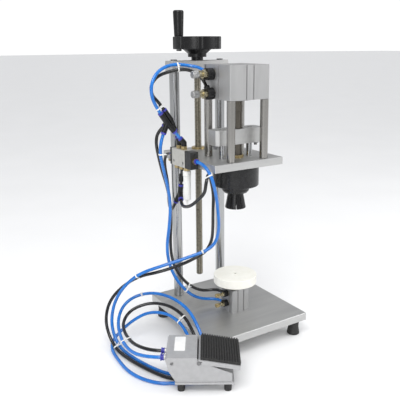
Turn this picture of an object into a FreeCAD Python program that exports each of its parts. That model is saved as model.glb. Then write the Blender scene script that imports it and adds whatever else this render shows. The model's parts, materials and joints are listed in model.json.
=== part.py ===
"""Bench-top pneumatic capping machine with a height-adjustable head and a foot pedal.

Millimetres, +Z up. The origin is on the crimping axis, on the surface that the machine stands on.
The front of the machine faces -Y.
"""
import FreeCAD, Part
import math
import os

V = FreeCAD.Vector
UP = V(0, 0, 1)

# ---------------------------------------------------------------- driving dimensions
GAP = 0.3                    # running clearance between pieces that slide or turn on each other

# base
BASE_W = 280.0
BASE_D = 320.0
BASE_T = 20.0
BASE_FRONT = -125.0          # front edge of the base plate, from the crimping axis
BASE_LEFT = -143.0
FOOT_H = 40.0
FOOT_D = 32.0
FOOT_INSET = 23.0
FOOT_BOLT_D = 8.0

# columns, top bar and lead screw
COLUMN_D = 25.0
COLUMN_PITCH = 137.0
COLUMN_MID_X = -12.0
COLUMN_Y = 154.5
COLUMN_H = 603.0
BAR_W = 168.0
BAR_D = 36.0
BAR_H = 26.0
COLUMN_BOLT_D = 10.0
SCREW_D = 18.0
SCREW_LEAD = 4.0
SCREW_FREE_END = 47.0        # lower end of the lead screw, above the base plate
SCREW_JOURNAL_D = 14.0
BEARING_FLANGE_D = 34.0

# handwheel
WHEEL_D = 122.0
WHEEL_RIM_H = 31.0
WHEEL_LOBES = 8
LOBE_DEPTH = 3.0
HUB_D = 47.0
NECK_D = 30.0
NECK_H = 8.0
HUB_H = 19.0
HANDLE_R = 46.0              # from the wheel's axis to the handle's
HANDLE_ANGLE = 148.0
HANDLE_L = 63.0
HANDLE_TOP_D = 27.0
HANDLE_FOOT_D = 23.0
HANDLE_BOLT_D = 8.0

# sliding head
PLATE_W = 198.0
PLATE_D = 246.0
PLATE_T = 18.0
PLATE_LEFT = -102.0
PLATE_FRONT = -64.0
HEAD_Z = 444.0               # underside of the head plate
BUSH_WALL = 3.0
NUT_FLANGE_D = 35.0
NUT_FLANGE_T = 5.0
NUT_BODY_D = 26.0
NUT_DROP = 6.0               # how far the nut's sleeve reaches below the head plate
PILLAR_D = 20.0
PILLAR_PITCH = 96.0
PILLAR_L = 142.0
PILLAR_BOLT_D = 8.0

# upper cylinder
BLOCK_W = 112.0
BLOCK_H = 79.0
BORE_D = 90.0
COVER_T = 16.0
HEAD_WALL = 12.0
PISTON_T = 18.0
ROD_D = 32.0
STROKE = 12.0                # crimping stroke
PORT_Y = 16.0
PORT_Z_UPPER = 57.5          # port heights above the bottom of the block
PORT_Z_LOWER = 13.0

# crosshead, push rods and crimping tool
CROSS_W = 138.0
CROSS_D = 44.0
CROSS_H = 36.0
CROSS_CHAMFER = 7.0
CROSS_ABOVE_PLATE = 35.0
PUSH_ROD_D = 15.0
PUSH_ROD_X = 40.0
STOP_SCREW_X = 60.0
STOP_SCREW_D = 8.0
GUIDE_FLANGE_D = 39.0
GUIDE_FLANGE_T = 7.0
GUIDE_BODY_D = 40.0
RING_D = 114.0
RING_H = 50.0
RING_EDGE = 3.0
RING_GAP = 1.0               # between the crimping ring and the head plate at rest
NOSE_D = 67.0
NOSE_H = 18.0
CARRIER_D = 45.0
COLLET_NECK_D = 38.0
COLLET_MOUTH_D = 52.0
COLLET_L = 38.0
COLLET_BORE_D = 18.0
COLLET_CUP_D = 26.0
COLLET_CUP_H = 12.0
COLLET_SLOTS = 12
COLLET_SLOT_W = 1.6

# bottle pad and lower cylinder
PAD_D = 110.0
PAD_T = 22.0
PAD_LIP = 1.5
PAD_HOLE_D = 7.0
PAD_TOP_ABOVE_BASE = 97.0
LIFT_W = 52.0
LIFT_H = 62.0
LIFT_BORE_D = 40.0
LIFT_ROD_D = 16.0
LIFT_PISTON_T = 12.0
LIFT_STROKE = 25.0
LIFT_FLOOR = 8.0
LIFT_PORT_Z_UPPER = 50.0
LIFT_PORT_Z_LOWER = 23.0
LIFT_PORT_Y = -3.0
SLOT_W = 6.0                 # sensor slots in the cylinders' sides
SLOT_DEPTH = 4.0

# speed controllers
CONTROL_BODY_D = 28.0
CONTROL_BODY_L = 20.0
CONTROL_HEX_AF = 19.0
CONTROL_HEX_L = 10.0
CONTROL_STEM_D = 11.0
CONTROL_STEM_L = 10.0
CONTROL_THREAD_D = 8.8
CONTROL_KNOB_D = 17.0
CONTROL_KNOB_L = 17.0
LIFT_CONTROL_SCALE = 0.62    # the lower cylinder's controllers are the next sizes down

# pneumatic valve on the left edge of the head plate
VALVE_W = 22.0
VALVE_H = 42.0
VALVE_Z = 442.0
VALVE_FRONT = 8.0
VALVE_FRONT_CAP = 28.0
VALVE_BODY_L = 61.0
VALVE_REAR_CAP = 9.0
VALVE_PORT_PITCH = 22.5
VALVE_BORE_D = 12.0
VALVE_BOLT_D = 4.0
FITTING_AF = 14.0
FITTING_H = 8.0
COLLAR_D = 13.0
COLLAR_H = 4.0

# hoses
HOSE_D = 8.0

# Y fittings and the union between the valve and the hoses
Y_ARM_D = 13.0
Y_UPPER = (V(-152, 66, 549), V(-139, 72, 556))
Y_UPPER_INLET = V(-0.58, 0, 0.815) * 27
Y_LIFT_ARMS = (V(-0.4, 0, -0.916) * 24, V(-0.25, 0.75, -0.61) * 24)
Y_OUTLET_L = 26.0
Y_SUPPLY = V(-113, 78, 372)
Y_SUPPLY_MOUTHS = (V(-113, 74.7, 389.7), V(-117, 92, 348), V(-121.5, 61, 361))
ELBOW_RISE = 8.0
ELBOW_ARM = 12.0
UNION_L = 18.0
SILENCER_HEAD_D = 20.0
SILENCER_HEAD_H = 14.0
SILENCER_BOWL_D = 18.0
SILENCER_BOWL_H = 59.0
SILENCER_TIP_D = 5.0
SILENCER_TIP_H = 19.0

# foot pedal, placed beside the machine's left front corner. Its own frame has x along its length,
# from the hose end to the toe end, and z = 0 on the floor.
PEDAL_ORIGIN = V(-280.0, -166.0, 0.0)
PEDAL_YAW = -32.5
PEDAL_L = 132.0
PEDAL_D = 106.0
PEDAL_H = 63.0               # housing, above the pedal's feet
PEDAL_FOOT_H = 20.0
PEDAL_FOOT_D = 18.0
PEDAL_FOOT_INSET = 13.0
PEDAL_PLATE_T = 5.0
PEDAL_LIP = 2.0              # the bottom plate stands out past the housing's sides
PEDAL_WALL = 3.0
PEDAL_OVERHANG = 16.0        # top of the housing stands out past its foot at the hose end
PEDAL_BACK_KNEE = 31.0       # height where the back wall bends
PEDAL_HEAD_L = 52.0          # end of the housing's flat top
PEDAL_TOE_H = 25.0
PEDAL_PIN_X = 56.0
PEDAL_PIN_Z = 50.0
PEDAL_PIN_D = 6.0
PEDAL_PORT_Y = (41.0, 69.0)
PEDAL_PORT_Z = 43.0
PEDAL_PORT_X = -22.0
PEDAL_PORT_D = 12.0
LEVER_REACH = 90.0
LEVER_T = 3.0
LEVER_RISE = 6.5             # from the pin to the underside of the lever's top plate
LEVER_TILT = 9.5
PEDAL_PAD_T = 6.0
RIB_COUNT = 15
RIB_W = 3.0
RIB_H = 3.0

# ---------------------------------------------------------------- places worked out from them
BASE_TOP = FOOT_H + BASE_T
BASE_RIGHT = BASE_LEFT + BASE_W
BASE_REAR = BASE_FRONT + BASE_D
COLUMN_X = (COLUMN_MID_X - COLUMN_PITCH / 2, COLUMN_MID_X + COLUMN_PITCH / 2)
BAR_Z = BASE_TOP + COLUMN_H
BAR_TOP = BAR_Z + BAR_H
SCREW_X = COLUMN_MID_X
PLATE_TOP = HEAD_Z + PLATE_T
BLOCK_Z = PLATE_TOP + PILLAR_L
BLOCK_TOP = BLOCK_Z + BLOCK_H
PILLAR_AT = [(sx * PILLAR_PITCH / 2, sy * PILLAR_PITCH / 2) for sx in (-1, 1) for sy in (-1, 1)]
CROSS_Z = PLATE_TOP + CROSS_ABOVE_PLATE
RING_TOP = HEAD_Z - RING_GAP
RING_Z = RING_TOP - RING_H
NOSE_Z = RING_Z - NOSE_H
PAD_TOP = BASE_TOP + PAD_TOP_ABOVE_BASE
LIFT_TOP = BASE_TOP + LIFT_H
VALVE_X = PLATE_LEFT - VALVE_W / 2
VALVE_BODY_Y = VALVE_FRONT + VALVE_FRONT_CAP
VALVE_TOP = VALVE_Z + VALVE_H
VALVE_REAR = VALVE_BODY_Y + VALVE_BODY_L + VALVE_REAR_CAP
VALVE_MID_Z = VALVE_Z + VALVE_H / 2
VALVE_BOLT_Z = HEAD_Z + PLATE_T / 2
EDGE = 1.0                   # small edge break on machined plates


# ---------------------------------------------------------------- helpers
def save(name, *solids):
    shape = solids[0] if len(solids) == 1 else Part.makeCompound(list(solids))
    shape.exportStep("parts/%s.step" % name)


def box(x0, y0, z0, x1, y1, z1):
    low = V(min(x0, x1), min(y0, y1), min(z0, z1))
    return Part.makeBox(abs(x1 - x0), abs(y1 - y0), abs(z1 - z0), low)


def cyl(d, x, y, z0, z1):
    return Part.makeCylinder(d / 2, z1 - z0, V(x, y, z0))


def rod(d, start, end):
    way = end - start
    return Part.makeCylinder(d / 2, way.Length, start, way)


def cone(d0, d1, x, y, z0, z1):
    return Part.makeCone(d0 / 2, d1 / 2, z1 - z0, V(x, y, z0))


def hexagon(af, start, way, length):
    points = []
    for k in range(7):
        a = math.radians(60 * k)
        points.append(V(math.cos(a), math.sin(a), 0) * (af / math.sqrt(3)))
    prism = Part.Face(Part.makePolygon(points)).extrude(UP * length)
    prism.Placement = FreeCAD.Placement(start, FreeCAD.Rotation(UP, way))
    return prism


def turned(profile, x, y, z):
    """A solid of revolution about a vertical axis, from (radius, height) points."""
    points = [V(r, 0, h) for r, h in profile]
    points.append(points[0])
    solid = Part.Face(Part.makePolygon(points)).revolve(V(), UP, 360)
    solid.translate(V(x, y, z))
    return solid


def vertical_edges(shape):
    picked = []
    for edge in shape.Edges:
        box_ = edge.BoundBox
        if box_.XLength < 0.01 and box_.YLength < 0.01:
            picked.append(edge)
    return picked


def level_edges(shape, height):
    picked = []
    for edge in shape.Edges:
        box_ = edge.BoundBox
        if box_.ZLength < 0.01 and abs(box_.ZMin - height) < 0.01:
            picked.append(edge)
    return picked


def cap_screw(d, x, y, seat, length, down=True):
    """Socket-head screw. seat is the height of the face under its head."""
    sign = 1 if down else -1
    head = rod(1.6 * d, V(x, y, seat), V(x, y, seat + sign * d))
    shank = rod(d, V(x, y, seat), V(x, y, seat - sign * length))
    socket = hexagon(0.8 * d, V(x, y, seat + sign * d), V(0, 0, -sign), 0.5 * d)
    return head.fuse(shank).cut(socket).removeSplitter()


# ---------------------------------------------------------------- base, columns and top bar
def feet_places():
    xs = (BASE_LEFT + FOOT_INSET, BASE_RIGHT - FOOT_INSET)
    ys = (BASE_FRONT + FOOT_INSET, BASE_REAR - FOOT_INSET)
    return [(x, y) for x in xs for y in ys]


def make_base():
    plate = box(BASE_LEFT, BASE_FRONT, FOOT_H, BASE_RIGHT, BASE_REAR, BASE_TOP)
    plate = plate.makeChamfer(EDGE, plate.Edges)
    for x, y in feet_places():
        plate = plate.cut(cyl(FOOT_BOLT_D, x, y, FOOT_H - 1, FOOT_H + BASE_T - 4))
    for x in COLUMN_X:
        plate = plate.cut(cyl(COLUMN_BOLT_D + 2 * GAP, x, COLUMN_Y, FOOT_H - 1, BASE_TOP + 1))
        plate = plate.cut(cyl(1.6 * COLUMN_BOLT_D + 2 * GAP, x, COLUMN_Y, FOOT_H - 1,
                              FOOT_H + COLUMN_BOLT_D + 0.5))
    save("base_plate", plate)


def make_feet():
    waist = FOOT_D - 5
    r = FOOT_D / 2
    feet = []
    for x, y in feet_places():
        foot = turned([(0, 0), (r - 1.5, 0), (r, 1.5), (r, 5), (waist / 2, FOOT_H * 0.45),
                       (waist / 2, FOOT_H * 0.6), (r - 1, FOOT_H - 3), (r - 1, FOOT_H), (0, FOOT_H)],
                      x, y, 0)
        well = cyl(1.6 * FOOT_BOLT_D + 2 * GAP, x, y, -1, FOOT_BOLT_D + 4)
        hole = cyl(FOOT_BOLT_D + 2 * GAP, x, y, 0, FOOT_H + 1)
        feet.append(foot.cut(well).cut(hole))
    save("base_feet", *feet)


def make_columns():
    columns = []
    for x in COLUMN_X:
        column = cyl(COLUMN_D, x, COLUMN_Y, BASE_TOP, BAR_Z)
        column = column.makeChamfer(EDGE, level_edges(column, BASE_TOP) + level_edges(column, BAR_Z))
        for z0, z1 in ((BASE_TOP - 1, BASE_TOP + 25), (BAR_Z - 25, BAR_Z + 1)):
            column = column.cut(cyl(COLUMN_BOLT_D, x, COLUMN_Y, z0, z1))
        columns.append(column)
    save("columns", *columns)


def make_frame_screws():
    screws = []
    for x, y in feet_places():
        screws.append(cap_screw(FOOT_BOLT_D, x, y, FOOT_BOLT_D + 4, FOOT_H - FOOT_BOLT_D + 6,
                                down=False))
    for x in COLUMN_X:
        screws.append(cap_screw(COLUMN_BOLT_D, x, COLUMN_Y, FOOT_H + COLUMN_BOLT_D + 0.5, 24,
                                down=False))
        screws.append(cap_screw(COLUMN_BOLT_D, x, COLUMN_Y, BAR_TOP - COLUMN_BOLT_D + 3, 32))
    save("frame_screws", *screws)


def make_top_bar():
    bar = box(COLUMN_MID_X - BAR_W / 2, COLUMN_Y - BAR_D / 2, BAR_Z,
              COLUMN_MID_X + BAR_W / 2, COLUMN_Y + BAR_D / 2, BAR_TOP)
    bar = bar.makeChamfer(EDGE, bar.Edges)
    for x in COLUMN_X:
        bar = bar.cut(cyl(COLUMN_BOLT_D + 2 * GAP, x, COLUMN_Y, BAR_Z - 1, BAR_TOP + 1))
        bar = bar.cut(cyl(1.6 * COLUMN_BOLT_D + 2 * GAP, x, COLUMN_Y,
                          BAR_TOP - COLUMN_BOLT_D + 3, BAR_TOP + 1))
    bar = bar.cut(cyl(BEARING_FLANGE_D - 8, SCREW_X, COLUMN_Y, BAR_Z - 1, BAR_TOP + 1))
    save("top_bar", bar)
    sleeve = cyl(BEARING_FLANGE_D - 8, SCREW_X, COLUMN_Y, BAR_Z, BAR_TOP - 0.5)
    flange = cyl(BEARING_FLANGE_D, SCREW_X, COLUMN_Y, BAR_Z - 4, BAR_Z)
    bore = cyl(SCREW_JOURNAL_D + 2 * GAP, SCREW_X, COLUMN_Y, BAR_Z - 5, BAR_TOP + 1)
    save("screw_bearing", sleeve.fuse(flange).cut(bore).removeSplitter())


# ---------------------------------------------------------------- handwheel and lead screw
def lobed_rim(height):
    """Plan outline of the wheel: round lobes with shallow hollows between, closed by arcs."""
    outer = WHEEL_D / 2
    step = 2 * math.pi / WHEEL_LOBES
    edges = []
    for k in range(WHEEL_LOBES):
        a = k * step
        crest = [V(outer * math.cos(a + t * step), outer * math.sin(a + t * step), 0)
                 for t in (-0.34, 0.0, 0.34)]
        dip = V(math.cos(a + step / 2), math.sin(a + step / 2), 0) * (outer - LOBE_DEPTH)
        nxt = V(outer * math.cos(a + 0.66 * step), outer * math.sin(a + 0.66 * step), 0)
        edges.append(Part.Arc(*crest).toShape())
        edges.append(Part.Arc(crest[2], dip, nxt).toShape())
    return Part.Face(Part.Wire(edges)).extrude(UP * height)


def make_handwheel():
    z = BAR_TOP + GAP
    rim_z = z + NECK_H + HUB_H
    rim = lobed_rim(WHEEL_RIM_H)
    rim = rim.makeFillet(2.0, level_edges(rim, WHEEL_RIM_H) + level_edges(rim, 0))
    rim.translate(V(0, 0, rim_z))
    dish = cone(WHEEL_D - 44, WHEEL_D - 30, 0, 0, rim_z + WHEEL_RIM_H - 6, rim_z + WHEEL_RIM_H + 1)
    hollow = cyl(WHEEL_D - 22, 0, 0, rim_z - 1, rim_z + 8)
    boss_r = HUB_D / 2 + 12
    hub = turned([(0, 0), (NECK_D / 2, 0), (NECK_D / 2, NECK_H), (HUB_D / 2, NECK_H),
                  (HUB_D / 2, NECK_H + 8), (boss_r, NECK_H + HUB_H - 1), (boss_r, NECK_H + HUB_H + 9),
                  (0, NECK_H + HUB_H + 9)], 0, 0, z)
    wheel = rim.cut(dish).cut(hollow).fuse(hub)
    a = math.radians(HANDLE_ANGLE)
    hx, hy = HANDLE_R * math.cos(a), HANDLE_R * math.sin(a)
    pad = cyl(HANDLE_FOOT_D, hx, hy, rim_z, rim_z + WHEEL_RIM_H)
    wheel = wheel.fuse(pad)
    wheel = wheel.cut(cyl(HANDLE_BOLT_D, hx, hy, rim_z - 1, rim_z + WHEEL_RIM_H + 1))
    wheel = wheel.cut(cyl(SCREW_JOURNAL_D, 0, 0, z - 1, rim_z + 14))
    wheel.translate(V(SCREW_X, COLUMN_Y, 0))
    save("handwheel", wheel.removeSplitter())

    hx, hy = hx + SCREW_X, hy + COLUMN_Y
    top = rim_z + WHEEL_RIM_H
    bolt = cyl(HANDLE_BOLT_D, hx, hy, rim_z - 3, top + HANDLE_L - 8)
    head = cyl(HANDLE_BOLT_D + 4, hx, hy, top + HANDLE_L - 8, top + HANDLE_L - 5)
    nut = hexagon(13, V(hx, hy, rim_z - 4.5), UP, 4.5)
    save("handle_bolt", bolt.fuse(head).fuse(nut).removeSplitter())
    foot, crown = HANDLE_FOOT_D / 2, HANDLE_TOP_D / 2
    grip = turned([(0, 0), (foot - 1, 0), (foot, 1.5), (foot + 0.6, HANDLE_L * 0.3),
                   (crown - 0.4, HANDLE_L * 0.75), (crown, HANDLE_L - 4), (crown - 0.8, HANDLE_L - 1.5),
                   (crown - 3, HANDLE_L), (0, HANDLE_L)],
                  hx, hy, top + GAP)
    grip = grip.cut(cyl(HANDLE_BOLT_D + 2 * GAP, hx, hy, top - 1, top + HANDLE_L + 1))
    grip = grip.cut(cyl(HANDLE_BOLT_D + 4 + 2 * GAP, hx, hy, top + HANDLE_L - 8 - GAP, top + HANDLE_L + 2))
    save("handle_grip", grip)


def make_lead_screw():
    low = BASE_TOP + SCREW_FREE_END
    thread = cyl(SCREW_D, SCREW_X, COLUMN_Y, low, BAR_Z - 4 - GAP)
    thread = thread.makeChamfer(1.5, level_edges(thread, low))
    collar = cyl(SCREW_D + 8, SCREW_X, COLUMN_Y, BAR_Z - 14, BAR_Z - 4 - GAP)
    journal = cyl(SCREW_JOURNAL_D, SCREW_X, COLUMN_Y, BAR_Z - 5, BAR_TOP + NECK_H + HUB_H + 14)
    save("lead_screw", thread.fuse(collar).fuse(journal).removeSplitter())


# ---------------------------------------------------------------- sliding head
def make_head_plate():
    plate = box(PLATE_LEFT, PLATE_FRONT, HEAD_Z, PLATE_LEFT + PLATE_W, PLATE_FRONT + PLATE_D, PLATE_TOP)
    plate = plate.makeChamfer(EDGE, plate.Edges)
    low, high = HEAD_Z - 1, PLATE_TOP + 1
    for x in COLUMN_X:
        plate = plate.cut(cyl(COLUMN_D + 2 * BUSH_WALL, x, COLUMN_Y, low, high))
    plate = plate.cut(cyl(NUT_BODY_D, SCREW_X, COLUMN_Y, low, high))
    for x, y in PILLAR_AT:
        plate = plate.cut(cyl(PILLAR_BOLT_D + 2 * GAP, x, y, low, high))
        plate = plate.cut(cyl(1.6 * PILLAR_BOLT_D + 2 * GAP, x, y, low, HEAD_Z + PILLAR_BOLT_D + 0.5))
    for side in (-1, 1):
        plate = plate.cut(cyl(PUSH_ROD_D + 4 * GAP, side * PUSH_ROD_X, 0, low, high))
    plate = plate.cut(cyl(GUIDE_BODY_D - 4, 0, 0, low, high))
    plate = plate.cut(cyl(GUIDE_BODY_D, 0, 0, low, HEAD_Z + PLATE_T / 2))
    for y in valve_bolt_ys():
        plate = plate.cut(rod(VALVE_BOLT_D, V(PLATE_LEFT - 1, y, VALVE_BOLT_Z), V(PLATE_LEFT + 14, y, VALVE_BOLT_Z)))
    save("head_plate", plate)


def make_bushes():
    bushes = []
    for x in COLUMN_X:
        bush = cyl(COLUMN_D + 2 * BUSH_WALL, x, COLUMN_Y, HEAD_Z - 6, PLATE_TOP)
        flange = cyl(COLUMN_D + 2 * BUSH_WALL + 8, x, COLUMN_Y, HEAD_Z - 6, HEAD_Z)
        bore = cyl(COLUMN_D + 2 * GAP, x, COLUMN_Y, HEAD_Z - 7, PLATE_TOP + 1)
        bushes.append(bush.fuse(flange).cut(bore).removeSplitter())
    save("column_bushes", *bushes)
    sleeve = cyl(NUT_BODY_D, SCREW_X, COLUMN_Y, HEAD_Z - NUT_DROP, PLATE_TOP)
    flange = cyl(NUT_FLANGE_D, SCREW_X, COLUMN_Y, PLATE_TOP, PLATE_TOP + NUT_FLANGE_T)
    flange = flange.makeChamfer(0.8, level_edges(flange, PLATE_TOP + NUT_FLANGE_T))
    bore = cyl(SCREW_D + 2 * GAP, SCREW_X, COLUMN_Y, HEAD_Z - NUT_DROP - 1, PLATE_TOP + NUT_FLANGE_T + 1)
    save("screw_nut", sleeve.fuse(flange).cut(bore).removeSplitter())


def make_pillars():
    pillars = []
    for x, y in PILLAR_AT:
        pillar = cyl(PILLAR_D, x, y, PLATE_TOP, BLOCK_Z)
        pillar = pillar.makeChamfer(EDGE, level_edges(pillar, PLATE_TOP) + level_edges(pillar, BLOCK_Z))
        pillar = pillar.cut(cyl(PILLAR_BOLT_D, x, y, PLATE_TOP - 1, PLATE_TOP + 22))
        pillar = pillar.cut(cyl(PILLAR_BOLT_D, x, y, BLOCK_Z - 22, BLOCK_Z + 1))
        pillars.append(pillar)
    save("pillars", *pillars)


def make_head_screws():
    screws = []
    for x, y in PILLAR_AT:
        screws.append(cap_screw(PILLAR_BOLT_D, x, y, HEAD_Z + PILLAR_BOLT_D + 0.5, 28, down=False))
        screws.append(cap_screw(PILLAR_BOLT_D, x, y, BLOCK_TOP - PILLAR_BOLT_D - 1,
                                BLOCK_H - PILLAR_BOLT_D + 18))
    for y in valve_bolt_ys():
        outer = PLATE_LEFT - VALVE_W
        head = rod(7, V(outer + 1, y, VALVE_BOLT_Z), V(outer + 4, y, VALVE_BOLT_Z))
        shank = rod(VALVE_BOLT_D, V(outer + 4, y, VALVE_BOLT_Z), V(PLATE_LEFT + 13, y, VALVE_BOLT_Z))
        screws.append(head.fuse(shank).removeSplitter())
    save("head_screws", *screws)


def cylinder_profile(width, z0, z1, corner, slots):
    """Square extruded barrel with rounded corners and vertical slots in its sides."""
    half = width / 2
    body = box(-half, -half, z0, half, half, z1)
    body = body.makeFillet(corner, vertical_edges(body))
    for x, y, w, d in slots:
        body = body.cut(box(x - w, y - d, z0 - 1, x + w, y + d, z1 + 1))
    return body


def make_upper_cylinder():
    half = BLOCK_W / 2
    slots = []
    for off in (-10.0, 10.0):
        slots.append((off, -half, 1.4, SLOT_DEPTH * 0.6))
        slots.append((off, half, 1.4, SLOT_DEPTH * 0.6))
        slots.append((half, off, SLOT_DEPTH * 0.6, 1.4))
    slots.append((-half, -8.0, SLOT_DEPTH * 0.6, 1.4))
    body = cylinder_profile(BLOCK_W, BLOCK_Z, BLOCK_TOP, 3.0, slots)
    recess = box(-half - 1, 4.0, BLOCK_Z - 1, -half + 1.5, half - 6.0, BLOCK_TOP + 1)
    body = body.cut(recess)
    body = body.cut(cyl(BORE_D, 0, 0, BLOCK_Z - 1, BLOCK_TOP - HEAD_WALL))
    for x, y in PILLAR_AT:
        body = body.cut(cyl(PILLAR_BOLT_D + 2 * GAP, x, y, BLOCK_Z - 1, BLOCK_TOP + 1))
        body = body.cut(cyl(1.6 * PILLAR_BOLT_D + 2 * GAP, x, y, BLOCK_TOP - PILLAR_BOLT_D - 1, BLOCK_TOP + 1))
    for port in (PORT_Z_UPPER, PORT_Z_LOWER):
        body = body.cut(rod(CONTROL_THREAD_D + 0.1, V(-half - 1, PORT_Y, BLOCK_Z + port),
                            V(0, PORT_Y, BLOCK_Z + port)))
    save("cylinder_body", body)

    cover = cyl(BORE_D, 0, 0, BLOCK_Z, BLOCK_Z + 6)
    lip = cyl(76.0, 0, 0, BLOCK_Z - 3, BLOCK_Z)
    bore = cyl(ROD_D + 2 * GAP, 0, 0, BLOCK_Z - 4, BLOCK_Z + COVER_T + 1)
    save("rod_cover", cover.fuse(lip).cut(bore).removeSplitter())

    top = BLOCK_TOP - HEAD_WALL - 4
    piston = cyl(BORE_D - 2 * GAP, 0, 0, top - PISTON_T, top)
    piston = piston.cut(cyl(ROD_D - 8, 0, 0, top - PISTON_T - 1, top + 1))
    save("piston", piston)


def make_piston_rod():
    top = BLOCK_TOP - HEAD_WALL - 4
    low = PLATE_TOP - PLATE_T + 2
    shaft = cyl(ROD_D, 0, 0, low, top - PISTON_T)
    spigot = cyl(ROD_D - 8, 0, 0, top - PISTON_T, top + 2)
    shaft = shaft.fuse(spigot)
    flat = ROD_D / 2 - 3
    for side in (-1, 1):
        cutter = box(-ROD_D, side * flat, BLOCK_Z - 31, ROD_D, side * ROD_D, BLOCK_Z - 14)
        shaft = shaft.cut(cutter)
    shaft = shaft.makeChamfer(EDGE, level_edges(shaft, low))
    save("piston_rod", shaft.removeSplitter())


def make_crosshead():
    half_w, half_d = CROSS_W / 2, CROSS_D / 2
    bar = box(-half_w, -half_d, CROSS_Z, half_w, half_d, CROSS_Z + CROSS_H)
    bar = bar.makeChamfer(CROSS_CHAMFER, vertical_edges(bar))
    bar = bar.cut(cyl(ROD_D, 0, 0, CROSS_Z - 1, CROSS_Z + CROSS_H + 1))
    for side in (-1, 1):
        bar = bar.cut(cyl(PUSH_ROD_D, side * PUSH_ROD_X, 0, CROSS_Z - 1, CROSS_Z + CROSS_H - 8))
        bar = bar.cut(cyl(9.0, side * PUSH_ROD_X, 0, CROSS_Z, CROSS_Z + CROSS_H + 1))
        bar = bar.cut(cyl(15.0, side * PUSH_ROD_X, 0, CROSS_Z + CROSS_H - 4, CROSS_Z + CROSS_H + 1))
        bar = bar.cut(cyl(STOP_SCREW_D, side * STOP_SCREW_X, 0, CROSS_Z - 1, CROSS_Z + 16))
    save("crosshead", bar)

    rods = []
    for side in (-1, 1):
        body = cyl(PUSH_ROD_D, side * PUSH_ROD_X, 0, RING_TOP, CROSS_Z + CROSS_H - 8)
        tail = cyl(10.0, side * PUSH_ROD_X, 0, RING_TOP - 16, RING_TOP)
        tip = cyl(9.0, side * PUSH_ROD_X, 0, CROSS_Z + CROSS_H - 8, CROSS_Z + CROSS_H - 5)
        rods.append(body.fuse(tail).fuse(tip).removeSplitter())
    save("push_rods", *rods)

    screws = []
    for side in (-1, 1):
        shank = cyl(STOP_SCREW_D, side * STOP_SCREW_X, 0, CROSS_Z - 10, CROSS_Z + 15)
        nut = hexagon(13.0, V(side * STOP_SCREW_X, 0, CROSS_Z - 5), UP, 5)
        screws.append(shank.fuse(nut).removeSplitter())
    save("stop_screws", *screws)


def make_crimping_tool():
    sleeve = cyl(GUIDE_BODY_D - 4, 0, 0, PLATE_TOP - PLATE_T / 2, PLATE_TOP)
    flange = cyl(GUIDE_FLANGE_D, 0, 0, PLATE_TOP, PLATE_TOP + GUIDE_FLANGE_T)
    flange = flange.makeChamfer(1.2, level_edges(flange, PLATE_TOP + GUIDE_FLANGE_T))
    bore = cyl(ROD_D + 2 * GAP, 0, 0, HEAD_Z, PLATE_TOP + GUIDE_FLANGE_T + 1)
    save("guide_bush", sleeve.fuse(flange).cut(bore).removeSplitter())

    # fixed tube between the head plate and the collet; the rod's end runs inside it
    tube_low = NOSE_Z - 2
    tube = cyl(GUIDE_BODY_D, 0, 0, tube_low, HEAD_Z + PLATE_T / 2)
    inside = cyl(ROD_D + 2 * GAP, 0, 0, HEAD_Z - STROKE - 8, PLATE_TOP)
    throat = cyl(COLLET_BORE_D, 0, 0, tube_low - 1, HEAD_Z)
    save("collet_carrier", tube.cut(inside).cut(throat))

    ring = cyl(RING_D, 0, 0, RING_Z, RING_TOP)
    ring = ring.makeFillet(RING_EDGE, level_edges(ring, RING_Z) + level_edges(ring, RING_TOP))
    nose = cone(NOSE_D - 8, NOSE_D, 0, 0, NOSE_Z, NOSE_Z + 5).fuse(cyl(NOSE_D, 0, 0, NOSE_Z + 5, RING_Z + 1))
    ring = ring.fuse(nose).cut(cyl(CARRIER_D, 0, 0, NOSE_Z - 1, RING_TOP + 1))
    for side in (-1, 1):
        ring = ring.cut(cyl(10.0, side * PUSH_ROD_X, 0, RING_TOP - 16, RING_TOP + 1))
    save("crimp_ring", ring.removeSplitter())

    top = tube_low
    low = top - COLLET_L
    collet = cone(COLLET_MOUTH_D, COLLET_NECK_D, 0, 0, low, top)
    collet = collet.makeChamfer(1.0, level_edges(collet, low))
    collet = collet.cut(cyl(COLLET_BORE_D, 0, 0, low - 1, top + 1))
    collet = collet.cut(cyl(COLLET_CUP_D, 0, 0, low - 1, low + COLLET_CUP_H))
    for k in range(COLLET_SLOTS):
        slot = box(COLLET_BORE_D / 2 - 2, -COLLET_SLOT_W / 2, low - 1, COLLET_MOUTH_D, COLLET_SLOT_W / 2, top - 8)
        slot.rotate(V(), UP, k * 360 / COLLET_SLOTS)
        collet = collet.cut(slot)
    save("collet", collet)


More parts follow.
